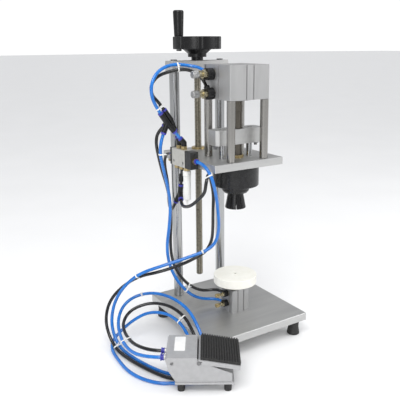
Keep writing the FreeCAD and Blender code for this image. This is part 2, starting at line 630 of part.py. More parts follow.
# ---------------------------------------------------------------- bottle pad and lower cylinder
def make_lift():
    half = LIFT_W / 2
    slots = []
    for off in (-9.0, 9.0):
        slots.append((off, -half, 1.6, SLOT_DEPTH / 2))
        slots.append((off, half, 1.6, SLOT_DEPTH / 2))
        slots.append((half, off, SLOT_DEPTH / 2, 1.6))
    slots.append((-half, -15.0, SLOT_DEPTH / 2, 2.2))
    body = cylinder_profile(LIFT_W, BASE_TOP, LIFT_TOP, 3.0, slots)
    body = body.cut(cyl(LIFT_BORE_D, 0, 0, BASE_TOP + LIFT_FLOOR, LIFT_TOP - LIFT_FLOOR))
    body = body.cut(cyl(LIFT_ROD_D + 2 * GAP, 0, 0, BASE_TOP + LIFT_FLOOR, LIFT_TOP + 1))
    port_d = CONTROL_THREAD_D * LIFT_CONTROL_SCALE + 0.1
    for port in (LIFT_PORT_Z_UPPER, LIFT_PORT_Z_LOWER):
        z = BASE_TOP + port
        body = body.cut(rod(port_d, V(-half - 1, LIFT_PORT_Y, z), V(0, LIFT_PORT_Y, z)))
    save("lift_cylinder", body)

    piston_low = BASE_TOP + LIFT_FLOOR + 1
    piston = cyl(LIFT_BORE_D - 2 * GAP, 0, 0, piston_low, piston_low + LIFT_PISTON_T)
    shaft = cyl(LIFT_ROD_D, 0, 0, piston_low + LIFT_PISTON_T, PAD_TOP - PAD_T)
    spigot = cyl(10.0, 0, 0, PAD_TOP - PAD_T, PAD_TOP - PAD_T + 10)
    save("lift_rod", piston.fuse(shaft).fuse(spigot).removeSplitter())

    pad = cyl(PAD_D, 0, 0, PAD_TOP - PAD_T, PAD_TOP)
    pad = pad.makeFillet(PAD_LIP, level_edges(pad, PAD_TOP) + level_edges(pad, PAD_TOP - PAD_T))
    pad = pad.cut(cyl(10.0, 0, 0, PAD_TOP - PAD_T - 1, PAD_TOP - PAD_T + 10))
    pad = pad.cut(cyl(PAD_HOLE_D, 0, 0, PAD_TOP - PAD_T, PAD_TOP + 1))
    save("bottle_pad", pad)


# ---------------------------------------------------------------- speed controllers
def controller(face_x, y, z, scale, port_way):
    """A speed controller screwed into a cylinder's left face: body with tube port, stem, knob."""
    def at(distance):
        return V(face_x - distance * scale, y, z)
    body_end = CONTROL_BODY_L
    hex_end = body_end + CONTROL_HEX_L
    stem_end = hex_end + CONTROL_STEM_L
    body = rod(CONTROL_BODY_D * scale, at(2), at(body_end))
    body = body.makeFillet(1.2 * scale, [e for e in body.Edges if e.Length > 20 * scale])
    port_length = (CONTROL_BODY_D / 2 + 5) * scale
    centre = at(body_end / 2 + 1)
    barrel = rod(max(HOSE_D + 2.6, 14.0 * scale), centre, centre + port_way * port_length)
    body = body.fuse(barrel).cut(rod(HOSE_D + 0.2, centre + port_way * (port_length - 7),
                                     centre + port_way * (port_length + 1)))
    stem_hole = rod((CONTROL_STEM_D + 3) * scale, at(0), at(body_end + 1))
    body = body.cut(stem_hole)
    stem = rod((CONTROL_STEM_D + 3) * scale, at(0), at(body_end))
    thread = rod(CONTROL_THREAD_D * scale, at(-8), at(0))
    washer = rod(22.0 * scale, at(0), at(2))
    nut = hexagon(CONTROL_HEX_AF * scale, at(body_end), V(-1, 0, 0), CONTROL_HEX_L * scale)
    spindle = rod(CONTROL_STEM_D * scale, at(hex_end), at(stem_end))
    stem = stem.fuse(thread).fuse(washer).fuse(nut).fuse(spindle)
    knob = knurled_knob(at(stem_end + GAP), scale)
    return body.removeSplitter(), stem.removeSplitter(), knob


def knurled_knob(start, scale):
    count = 18
    outer = CONTROL_KNOB_D * scale / 2
    points = []
    for k in range(2 * count + 1):
        a = math.pi * k / count
        r = outer if k % 2 == 0 else outer - 0.7 * scale
        points.append(V(r * math.cos(a), r * math.sin(a), 0))
    knob = Part.Face(Part.makePolygon(points)).extrude(UP * CONTROL_KNOB_L * scale)
    knob.Placement = FreeCAD.Placement(start, FreeCAD.Rotation(UP, V(-1, 0, 0)))
    return knob


def make_controllers():
    left = -BLOCK_W / 2 + 1.5
    upper = controller(left, PORT_Y, BLOCK_Z + PORT_Z_UPPER, 1.0, V(0, 0.94, 0.34))
    lower = controller(left, PORT_Y, BLOCK_Z + PORT_Z_LOWER, 1.0, V(0, 0.6, 0.8))
    save("speed_bodies", upper[0], lower[0])
    save("speed_stems", upper[1], lower[1])
    save("speed_knob_upper", upper[2])
    save("speed_knob_lower", lower[2])
    left = -LIFT_W / 2
    scale = LIFT_CONTROL_SCALE
    high = controller(left, LIFT_PORT_Y, BASE_TOP + LIFT_PORT_Z_UPPER, scale, V(0, 1, 0))
    low = controller(left, LIFT_PORT_Y, BASE_TOP + LIFT_PORT_Z_LOWER, scale, V(0, 1, 0))
    save("lift_flow_bodies", high[0], low[0])
    save("lift_flow_stems", high[1], low[1])
    save("lift_knob_upper", high[2])
    save("lift_knob_lower", low[2])


# ---------------------------------------------------------------- valve and fittings
def valve_bolt_ys():
    return (VALVE_BODY_Y + 9.0, VALVE_BODY_Y + VALVE_BODY_L - 9.0)


def top_port_ys():
    mid = VALVE_BODY_Y + VALVE_BODY_L / 2
    return (mid - VALVE_PORT_PITCH / 2, mid + VALVE_PORT_PITCH / 2)


def bottom_port_ys():
    mid = VALVE_BODY_Y + VALVE_BODY_L / 2
    return (mid - VALVE_PORT_PITCH, mid, mid + VALVE_PORT_PITCH)


def make_valve():
    left, right = PLATE_LEFT - VALVE_W, PLATE_LEFT
    body_end = VALVE_BODY_Y + VALVE_BODY_L
    body = box(left, VALVE_BODY_Y, VALVE_Z, right, body_end, VALVE_TOP)
    body = body.makeChamfer(0.8, body.Edges)
    middle = VALVE_Z + VALVE_H / 2
    body = body.cut(rod(VALVE_BORE_D, V(VALVE_X, VALVE_BODY_Y - 1, middle), V(VALVE_X, body_end + 1, middle)))
    for y in valve_bolt_ys():
        body = body.cut(rod(VALVE_BOLT_D + 0.4, V(left - 1, y, VALVE_BOLT_Z), V(right + 1, y, VALVE_BOLT_Z)))
        body = body.cut(rod(7.4, V(left - 1, y, VALVE_BOLT_Z), V(left + 4, y, VALVE_BOLT_Z)))
    for y in top_port_ys():
        body = body.cut(rod(8.0, V(VALVE_X, y, VALVE_TOP + 1), V(VALVE_X, y, VALVE_TOP - 10)))
    for y in bottom_port_ys():
        body = body.cut(rod(8.0, V(VALVE_X, y, VALVE_Z - 1), V(VALVE_X, y, VALVE_Z + 10)))
    save("valve_body", body)

    front = box(left, VALVE_FRONT, VALVE_Z, right, VALVE_BODY_Y, VALVE_TOP)
    front = front.makeFillet(1.2, front.Edges)
    front = front.cut(rod(8.0, V(VALVE_X, VALVE_FRONT - 1, middle), V(VALVE_X, VALVE_FRONT + 10, middle)))
    front = front.cut(rod(3.0, V(VALVE_X, VALVE_FRONT - 1, VALVE_TOP - 6), V(VALVE_X, VALVE_FRONT + 3, VALVE_TOP - 6)))
    rear = box(left, body_end, VALVE_Z, right, body_end + VALVE_REAR_CAP, VALVE_TOP)
    rear = rear.makeFillet(1.2, rear.Edges)
    rear = rear.cut(rod(8.0, V(VALVE_X, VALVE_REAR - 8.5, middle), V(VALVE_X, VALVE_REAR + 1, middle)))
    save("valve_caps", front, rear)

    spool = rod(VALVE_BORE_D - 1.0, V(VALVE_X, VALVE_BODY_Y + 4, middle), V(VALVE_X, body_end - 8, middle))
    for k in range(4):
        y = VALVE_BODY_Y + 10 + k * 11.0
        ring = rod(VALVE_BORE_D + 1, V(VALVE_X, y, middle), V(VALVE_X, y + 6, middle))
        ring = ring.cut(rod(VALVE_BORE_D - 5, V(VALVE_X, y - 1, middle), V(VALVE_X, y + 7, middle)))
        spool = spool.cut(ring)
    save("valve_spool", spool)


def male_fitting(base, way, length=FITTING_H):
    body = hexagon(FITTING_AF, base, way, length)
    return body.fuse(rod(7.8, base - way * 8, base)).removeSplitter()


def tube_collar(base, way):
    ring = rod(COLLAR_D, base, base + way * COLLAR_H)
    return ring.cut(rod(HOSE_D + 0.2, base - way, base + way * (COLLAR_H + 1)))


def make_fittings():
    down = V(0, 0, -1)
    brass = []
    for y in top_port_ys():
        brass.append(male_fitting(V(VALVE_X, y, VALVE_TOP), UP))
    for y in bottom_port_ys():
        brass.append(male_fitting(V(VALVE_X, y, VALVE_Z), down))
    brass.append(male_fitting(V(VALVE_X, VALVE_FRONT, VALVE_MID_Z), V(0, -1, 0)))
    brass.append(male_fitting(V(VALVE_X, VALVE_REAR, VALVE_MID_Z), V(0, 1, 0)))
    save("valve_fittings", *brass)


def elbow_places():
    """Knee of each elbow on the valve's top, with the direction from it to its Y fitting."""
    places = []
    for y, centre in zip(top_port_ys(), Y_UPPER):
        knee = V(VALVE_X, y, VALVE_TOP + FITTING_H + ELBOW_RISE)
        places.append((knee, (centre - knee).normalize()))
    return places


def make_elbows():
    elbows = []
    for knee, way in elbow_places():
        upright = cyl(COLLAR_D, knee.x, knee.y, VALVE_TOP + FITTING_H, knee.z)
        arm = rod(COLLAR_D, knee, knee + way * ELBOW_ARM)
        ball = Part.makeSphere(COLLAR_D / 2, knee)
        elbows.append(upright.fuse(arm).fuse(ball).removeSplitter())
    save("valve_elbows", *elbows)


def y_union(centre, mouths):
    """Y fitting: round arms from one centre to each mouth."""
    body = Part.makeSphere(Y_ARM_D / 2 + 0.5, centre)
    for mouth in mouths:
        body = body.fuse(rod(Y_ARM_D, centre, mouth))
    return body.removeSplitter()


def upper_y_mouths(index):
    """The inlet, the outlet to the valve and the outlet to the lower cylinder of an upper Y."""
    centre = Y_UPPER[index]
    way = elbow_places()[index][1]
    return (centre + Y_UPPER_INLET, centre - way * Y_OUTLET_L, centre + Y_LIFT_ARMS[index])


def supply_tube():
    """Start, end and direction of the short tube from the valve's middle port to the supply Y."""
    port = V(VALVE_X, bottom_port_ys()[1], VALVE_Z - FITTING_H)
    way = (Y_SUPPLY_MOUTHS[0] - port).normalize()
    return port + way, Y_SUPPLY_MOUTHS[0], way


def make_y_fittings():
    solids = []
    for index, centre in enumerate(Y_UPPER):
        solids.append(y_union(centre, upper_y_mouths(index)))
    solids.append(y_union(Y_SUPPLY, Y_SUPPLY_MOUTHS))
    start, end, way = supply_tube()
    middle = (start + end) * 0.5
    sleeve = rod(Y_ARM_D, middle - way * (UNION_L / 2), middle + way * (UNION_L / 2))
    solids.append(sleeve.cut(rod(HOSE_D + 0.1, start, end)))
    save("y_fittings", *solids)

    tubes = [rod(HOSE_D, start, end)]
    for index, (knee, way) in enumerate(elbow_places()):
        tubes.append(rod(HOSE_D, knee + way * ELBOW_ARM, upper_y_mouths(index)[1]))
    save("valve_tubes", *tubes)


def make_collars():
    """Release collars round the tubes, one at each push-in mouth on the head."""
    collars = []
    for index, (knee, way) in enumerate(elbow_places()):
        collars.append(tube_collar(knee + way * ELBOW_ARM, way))
        for mouth in upper_y_mouths(index):
            collars.append(tube_collar(mouth, (mouth - Y_UPPER[index]).normalize()))
    for mouth in Y_SUPPLY_MOUTHS:
        collars.append(tube_collar(mouth, (mouth - Y_SUPPLY).normalize()))
    collars.append(tube_collar(V(VALVE_X, VALVE_FRONT - FITTING_H, VALVE_MID_Z), V(0, -1, 0)))
    collars.append(tube_collar(V(VALVE_X, VALVE_REAR + FITTING_H, VALVE_MID_Z), V(0, 1, 0)))
    save("tube_collars", *collars)


def make_silencer():
    x, y = VALVE_X, bottom_port_ys()[0]
    top = VALVE_Z - FITTING_H
    bowl_top = top - SILENCER_HEAD_H
    bowl_low = bowl_top - SILENCER_BOWL_H
    head = cyl(SILENCER_HEAD_D, x, y, bowl_top, top)
    head = head.makeChamfer(1.5, level_edges(head, top) + level_edges(head, bowl_top))
    bowl = cyl(SILENCER_BOWL_D, x, y, bowl_low, bowl_top)
    bowl = bowl.makeFillet(2.5, level_edges(bowl, bowl_low))
    tip = cone(SILENCER_TIP_D - 2, SILENCER_TIP_D, x, y, bowl_low - SILENCER_TIP_H, bowl_low)
    save("silencer", head, bowl, tip)


# ---------------------------------------------------------------- foot pedal
def on_pedal(shape):
    """Move a shape from the pedal's own frame to its place on the floor."""
    shape.rotate(V(), UP, PEDAL_YAW)
    shape.translate(PEDAL_ORIGIN)
    return shape


def side_profile(points, y0, y1):
    outline = [V(x, y0, z) for x, z in points]
    outline.append(outline[0])
    return Part.Face(Part.makePolygon(outline)).extrude(V(0, y1 - y0, 0))


def make_pedal_base():
    low, top = PEDAL_FOOT_H, PEDAL_FOOT_H + PEDAL_PLATE_T
    plate = box(4, 0, low, PEDAL_L, PEDAL_D, top)
    plate = plate.makeChamfer(EDGE, vertical_edges(plate))
    save("pedal_base", on_pedal(plate))
    feet = []
    for x in (4 + PEDAL_FOOT_INSET, PEDAL_L - PEDAL_FOOT_INSET):
        for y in (PEDAL_FOOT_INSET, PEDAL_D - PEDAL_FOOT_INSET):
            foot = cone(PEDAL_FOOT_D - 2, PEDAL_FOOT_D, x, y, 0, low)
            feet.append(on_pedal(foot))
    save("pedal_feet", *feet)


def make_pedal_housing():
    low, top = PEDAL_FOOT_H + PEDAL_PLATE_T, PEDAL_FOOT_H + PEDAL_H
    knee = (6 - 15, PEDAL_FOOT_H + PEDAL_BACK_KNEE)
    y0, y1 = PEDAL_LIP, PEDAL_D - PEDAL_LIP
    pin_z = PEDAL_FOOT_H + PEDAL_PIN_Z
    outline = [(6, low), knee, (-PEDAL_OVERHANG, top - 5), (-PEDAL_OVERHANG + 3, top),
               (PEDAL_HEAD_L, top), (PEDAL_PIN_X - 2, pin_z + 5), (PEDAL_PIN_X + 2, pin_z + 3.5),
               (PEDAL_L - 4, PEDAL_FOOT_H + PEDAL_TOE_H), (PEDAL_L - 4, low)]
    shell = side_profile(outline, y0, y1)
    wall = PEDAL_WALL + 0.5
    inner = [(6 + wall, low - 1), (knee[0] + wall, knee[1]), (-PEDAL_OVERHANG + wall, top - 6),
             (-PEDAL_OVERHANG + wall, top - PEDAL_WALL), (PEDAL_L, top - PEDAL_WALL), (PEDAL_L, low - 1)]
    shell = shell.cut(side_profile(inner, y0 + PEDAL_WALL, y1 - PEDAL_WALL))
    shell = shell.cut(rod(PEDAL_PIN_D + 0.1, V(PEDAL_PIN_X, -1, pin_z), V(PEDAL_PIN_X, PEDAL_D + 1, pin_z)))
    port_z = PEDAL_FOOT_H + PEDAL_PORT_Z
    for y in PEDAL_PORT_Y:
        shell = shell.cut(rod(PEDAL_PORT_D + GAP, V(-PEDAL_OVERHANG - 5, y, port_z), V(0, y, port_z)))
    save("pedal_housing", on_pedal(shell))


def make_pedal_valve():
    port_z = PEDAL_FOOT_H + PEDAL_PORT_Z
    body = box(12, 28, PEDAL_FOOT_H + PEDAL_PLATE_T, 44, PEDAL_D - 24, port_z + 9)
    for y in PEDAL_PORT_Y:
        body = body.fuse(rod(PEDAL_PORT_D, V(14, y, port_z), V(PEDAL_PORT_X, y, port_z)))
    save("pedal_valve", on_pedal(body.removeSplitter()))


def make_pedal_lever():
    pin_z = PEDAL_FOOT_H + PEDAL_PIN_Z
    pin = rod(PEDAL_PIN_D, V(PEDAL_PIN_X, PEDAL_LIP, pin_z), V(PEDAL_PIN_X, PEDAL_D - PEDAL_LIP, pin_z))
    for y in (PEDAL_LIP - 1.4, PEDAL_D - PEDAL_LIP):
        pin = pin.fuse(rod(PEDAL_PIN_D + 3, V(PEDAL_PIN_X, y, pin_z), V(PEDAL_PIN_X, y + 1.4, pin_z)))
    save("pedal_pin", on_pedal(pin.removeSplitter()))

    # drawn level, with the pin at the origin, then tipped down towards the toe end
    def tipped(shape):
        shape.rotate(V(), V(0, 1, 0), LEVER_TILT)
        shape.translate(V(PEDAL_PIN_X, 0, pin_z))
        return on_pedal(shape)
    top = LEVER_RISE + LEVER_T
    lever = box(-2, -1, LEVER_RISE, LEVER_REACH, PEDAL_D + 1, top)
    for y0, y1 in ((-1, PEDAL_LIP - 0.5), (PEDAL_D - PEDAL_LIP + 0.5, PEDAL_D + 1)):
        lever = lever.fuse(box(6, y0, 0, LEVER_REACH, y1, LEVER_RISE))
    ear = PEDAL_LIP + PEDAL_WALL + 1
    for y0 in (ear, PEDAL_D - ear - LEVER_T):
        lever = lever.fuse(box(-6, y0, -6, 16, y0 + LEVER_T, LEVER_RISE))
    lever = lever.cut(rod(PEDAL_PIN_D + 0.15, V(0, -2, 0), V(0, PEDAL_D + 2, 0)))
    save("pedal_lever", tipped(lever.removeSplitter()))

    pad = box(2, 2, top, LEVER_REACH - 1, PEDAL_D - 2, top + PEDAL_PAD_T)
    pitch = (LEVER_REACH - 5) / RIB_COUNT
    for k in range(RIB_COUNT):
        x = 3.5 + k * pitch
        pad = pad.fuse(box(x, 2, top + PEDAL_PAD_T, x + RIB_W, PEDAL_D - 2, top + PEDAL_PAD_T + RIB_H))
    save("pedal_pad", tipped(pad.removeSplitter()))


# ---------------------------------------------------------------- hoses
# Points of each hose's route, from one fitting to the other. They are chosen by hand.
ROUTES = {
    "hose_cylinder_top": [
        (-65.5, 27.3, 665.6), (-65.5, 53.6, 675.1), (-86, 76, 680), (-120, 82, 684), (-154, 80, 676),
        (-180, 75, 656), (-191, 70, 626), (-185, 66, 595.4), (-167.7, 66, 571)],
    "hose_cylinder_bottom": [
        (-65.5, 23.2, 626.6), (-65.5, 40, 649), (-80, 58, 666), (-104, 70, 673), (-134, 82, 667),
        (-163, 87, 658), (-182, 86, 638), (-183, 80, 614), (-168.6, 72, 597.6), (-154.7, 72, 578)],
    "hose_lift_top": [
        (-161.6, 66, 527), (-170.4, 66, 506.9), (-172, 68, 474), (-160, 72, 430), (-148, 76, 388),
        (-142, 77, 340), (-148, 76, 288), (-158, 74, 236), (-154, 68, 188), (-136, 60, 144),
        (-106, 54, 106), (-78, 50, 88), (-56, 46, 82), (-40, 36, 82), (-32.8, 20, 83), (-32.8, 1.8, 83)],
    "hose_lift_bottom": [
        (-145.1, 90.2, 541.2), (-152.8, 113.4, 522.4), (-158, 115, 498), (-158, 106, 470), (-153, 97, 430),
        (-142, 92, 388), (-134, 91, 340), (-135, 89, 290), (-142, 84, 238), (-139, 79, 190),
        (-121, 72, 150), (-97, 63, 122), (-73, 54, 108), (-54, 46, 106), (-39, 34, 109),
        (-32.8, 18, 110), (-32.8, 1.8, 110)],
    "hose_pilot": [
        (-113, 0, 463), (-113, -30, 463), (-109, -57, 441), (-98, -60, 398), (-84, -48, 350),
        (-73, -36, 304), (-78, -32, 268), (-97, -24, 248), (-126, -8, 236), (-160, 8, 224),
        (-202, 30, 210), (-242, 58, 192), (-270, 84, 160), (-291, 104, 116), (-302, 108, 66),
        (-304, 92, 30), (-300, 62, 7), (-294, 22, 4), (-284, -26, 4), (-268, -76, 4), (-251, -106, 4),
        (-229, -120, 4), (-205, -112, 6), (-189, -91, 11), (-177, -75, 34), (-173, -50, 56),
        (-172, -8, 72), (-184, 38, 80), (-216, 74, 76), (-250, 94, 54), (-282, 106, 26), (-308, 98, 8),
        (-322, 62, 4), (-326, 14, 4), (-328, -34, 4), (-317, -82, 4), (-292, -122, 4), (-261, -140, 4),
        (-232, -161, 4), (-200, -163, 4), (-177, -146, 5), (-165, -128, 8), (-157, -111, 13),
        (-152, -94, 36), (-149, -62, 70), (-147, -16, 98), (-158, 36, 112), (-184, 82, 118),
        (-218, 110, 112), (-250, 120, 98), (-276, 110, 80), (-298, 76, 67), (-312, 34, 58),
        (-319, -10, 52), (-317, -52, 52), (-301, -104, 63), (-276.5, -119.6, 63)],
    "hose_supply": [
        (-121.5, 61, 361), (-130, 44, 350), (-131, 22, 350), (-130, -4, 360), (-124, -28, 380),
        (-118, -44, 397), (-116, -46, 419), (-105, -36, 435), (-89, -19, 435), (-78, -7, 419),
        (-78, -7, 382), (-82, -10, 340), (-84, -10, 300), (-82, -4, 264), (-92, 2, 236), (-114, 6, 222),
        (-140, 11, 213), (-170, 20, 204), (-206, 38, 193), (-238, 70, 180), (-266, 104, 150),
        (-297, 124, 110), (-313, 120, 64), (-315, 94, 28), (-311, 60, 7), (-305, 20, 4), (-295, -29, 4),
        (-279, -80, 4), (-263, -117, 4), (-235, -140, 4), (-203, -139, 5), (-184, -121, 7),
        (-173, -102, 12), (-164, -84, 36), (-160, -52, 62), (-158, -8, 84), (-170, 44, 94),
        (-200, 80, 96), (-236, 98, 86), (-262, 98, 74), (-284, 78, 63), (-296, 44, 58), (-302, 6, 58),
        (-303, -34, 60), (-285.1, -80.9, 63), (-261.5, -96, 63)],
    "hose_inlet": [
        (-117, 92, 348), (-120.1, 103, 329.2), (-116, 122, 317), (-110, 142, 321), (-104, 156, 341),
        (-102, 160, 366), (-104, 162, 392), (-108, 164, 420), (-112, 158, 446), (-113, 139, 463),
        (-113, 114, 463)],
}


def arc_radius(before, corner, after):
    """Radius of the arc at a corner of a route: 0.45 of its shorter run, over tan of half the turn."""
    a, b = corner - before, after - corner
    return 0.45 * min(a.Length, b.Length) / math.tan(a.getAngle(b) / 2)


def route_wire(points):
    """Straight runs joined by tangent arcs. Returns the wire and the arcs' radii."""
    edges, radii = [], []
    start = points[0]
    for before, corner, after in zip(points, points[1:], points[2:]):
        a, b = (corner - before).normalize(), (after - corner).normalize()
        turn = a.getAngle(b)
        radius = arc_radius(before, corner, after)
        cut_back = radius * math.tan(turn / 2)
        first, last = corner - a * cut_back, corner + b * cut_back
        inward = (b - a).normalize()
        middle = corner + inward * (radius / math.cos(turn / 2) - radius)
        edges.append(Part.LineSegment(start, first).toShape())
        edges.append(Part.Arc(first, middle, last).toShape())
        radii.append(radius)
        start = last
    edges.append(Part.LineSegment(start, points[-1]).toShape())
    return Part.Wire(edges), radii


def make_hose(name, route):
    points = [V(*place) for place in route]
    wire, radii = route_wire(points)
    circle = Part.Circle(points[0], points[1] - points[0], HOSE_D / 2)
    section = Part.Wire([circle.toShape()])
    tube = wire.makePipeShell([section], True, False)
    ideal = math.pi * HOSE_D ** 2 / 4 * wire.Length
    print("%s: length %.0f mm, smallest radius %.0f mm, volume %.4f of section times length"
          % (name, wire.Length, min(radii), tube.Volume / ideal))
    print("  radii", [round(r) for r in radii])
    save(name, tube)


if __name__ == "__main__":
    os.makedirs("parts", exist_ok=True)
    make_base()
    make_feet()
    make_columns()
    make_frame_screws()
    make_top_bar()
    make_handwheel()
    make_lead_screw()
    make_head_plate()
    make_bushes()
    make_pillars()
    make_head_screws()
    make_upper_cylinder()
    make_piston_rod()
    make_crosshead()
    make_crimping_tool()
    make_lift()
    mouths = make_controllers()
    make_valve()
    make_fittings()
    make_elbows()
    make_y_fittings()
    make_collars()
    make_silencer()
    make_pedal_base()
    make_pedal_housing()
    make_pedal_valve()
    make_pedal_lever()
    for hose_name, hose_route in ROUTES.items():
        make_hose(hose_name, hose_route)
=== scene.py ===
"""The bottle capping machine's visual model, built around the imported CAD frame."""

import json
import math

import bmesh
import bpy
from mathutils import Matrix, Vector


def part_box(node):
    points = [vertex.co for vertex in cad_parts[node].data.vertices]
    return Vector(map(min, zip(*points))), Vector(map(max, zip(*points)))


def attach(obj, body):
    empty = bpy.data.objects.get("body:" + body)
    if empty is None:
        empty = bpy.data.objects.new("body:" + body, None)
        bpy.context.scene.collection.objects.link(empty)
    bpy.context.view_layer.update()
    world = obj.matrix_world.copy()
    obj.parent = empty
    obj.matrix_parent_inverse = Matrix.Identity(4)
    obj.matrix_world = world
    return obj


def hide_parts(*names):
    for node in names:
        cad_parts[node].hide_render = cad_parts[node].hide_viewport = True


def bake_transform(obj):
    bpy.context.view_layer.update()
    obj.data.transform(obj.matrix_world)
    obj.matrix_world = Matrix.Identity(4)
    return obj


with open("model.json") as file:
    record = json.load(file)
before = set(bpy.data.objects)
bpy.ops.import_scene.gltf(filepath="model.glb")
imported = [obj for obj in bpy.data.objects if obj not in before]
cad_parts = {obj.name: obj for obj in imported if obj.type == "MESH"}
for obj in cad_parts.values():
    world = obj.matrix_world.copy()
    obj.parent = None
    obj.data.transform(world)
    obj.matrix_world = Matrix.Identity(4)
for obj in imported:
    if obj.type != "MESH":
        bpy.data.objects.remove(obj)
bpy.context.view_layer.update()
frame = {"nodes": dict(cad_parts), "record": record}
UP = Vector((0, 0, 1))

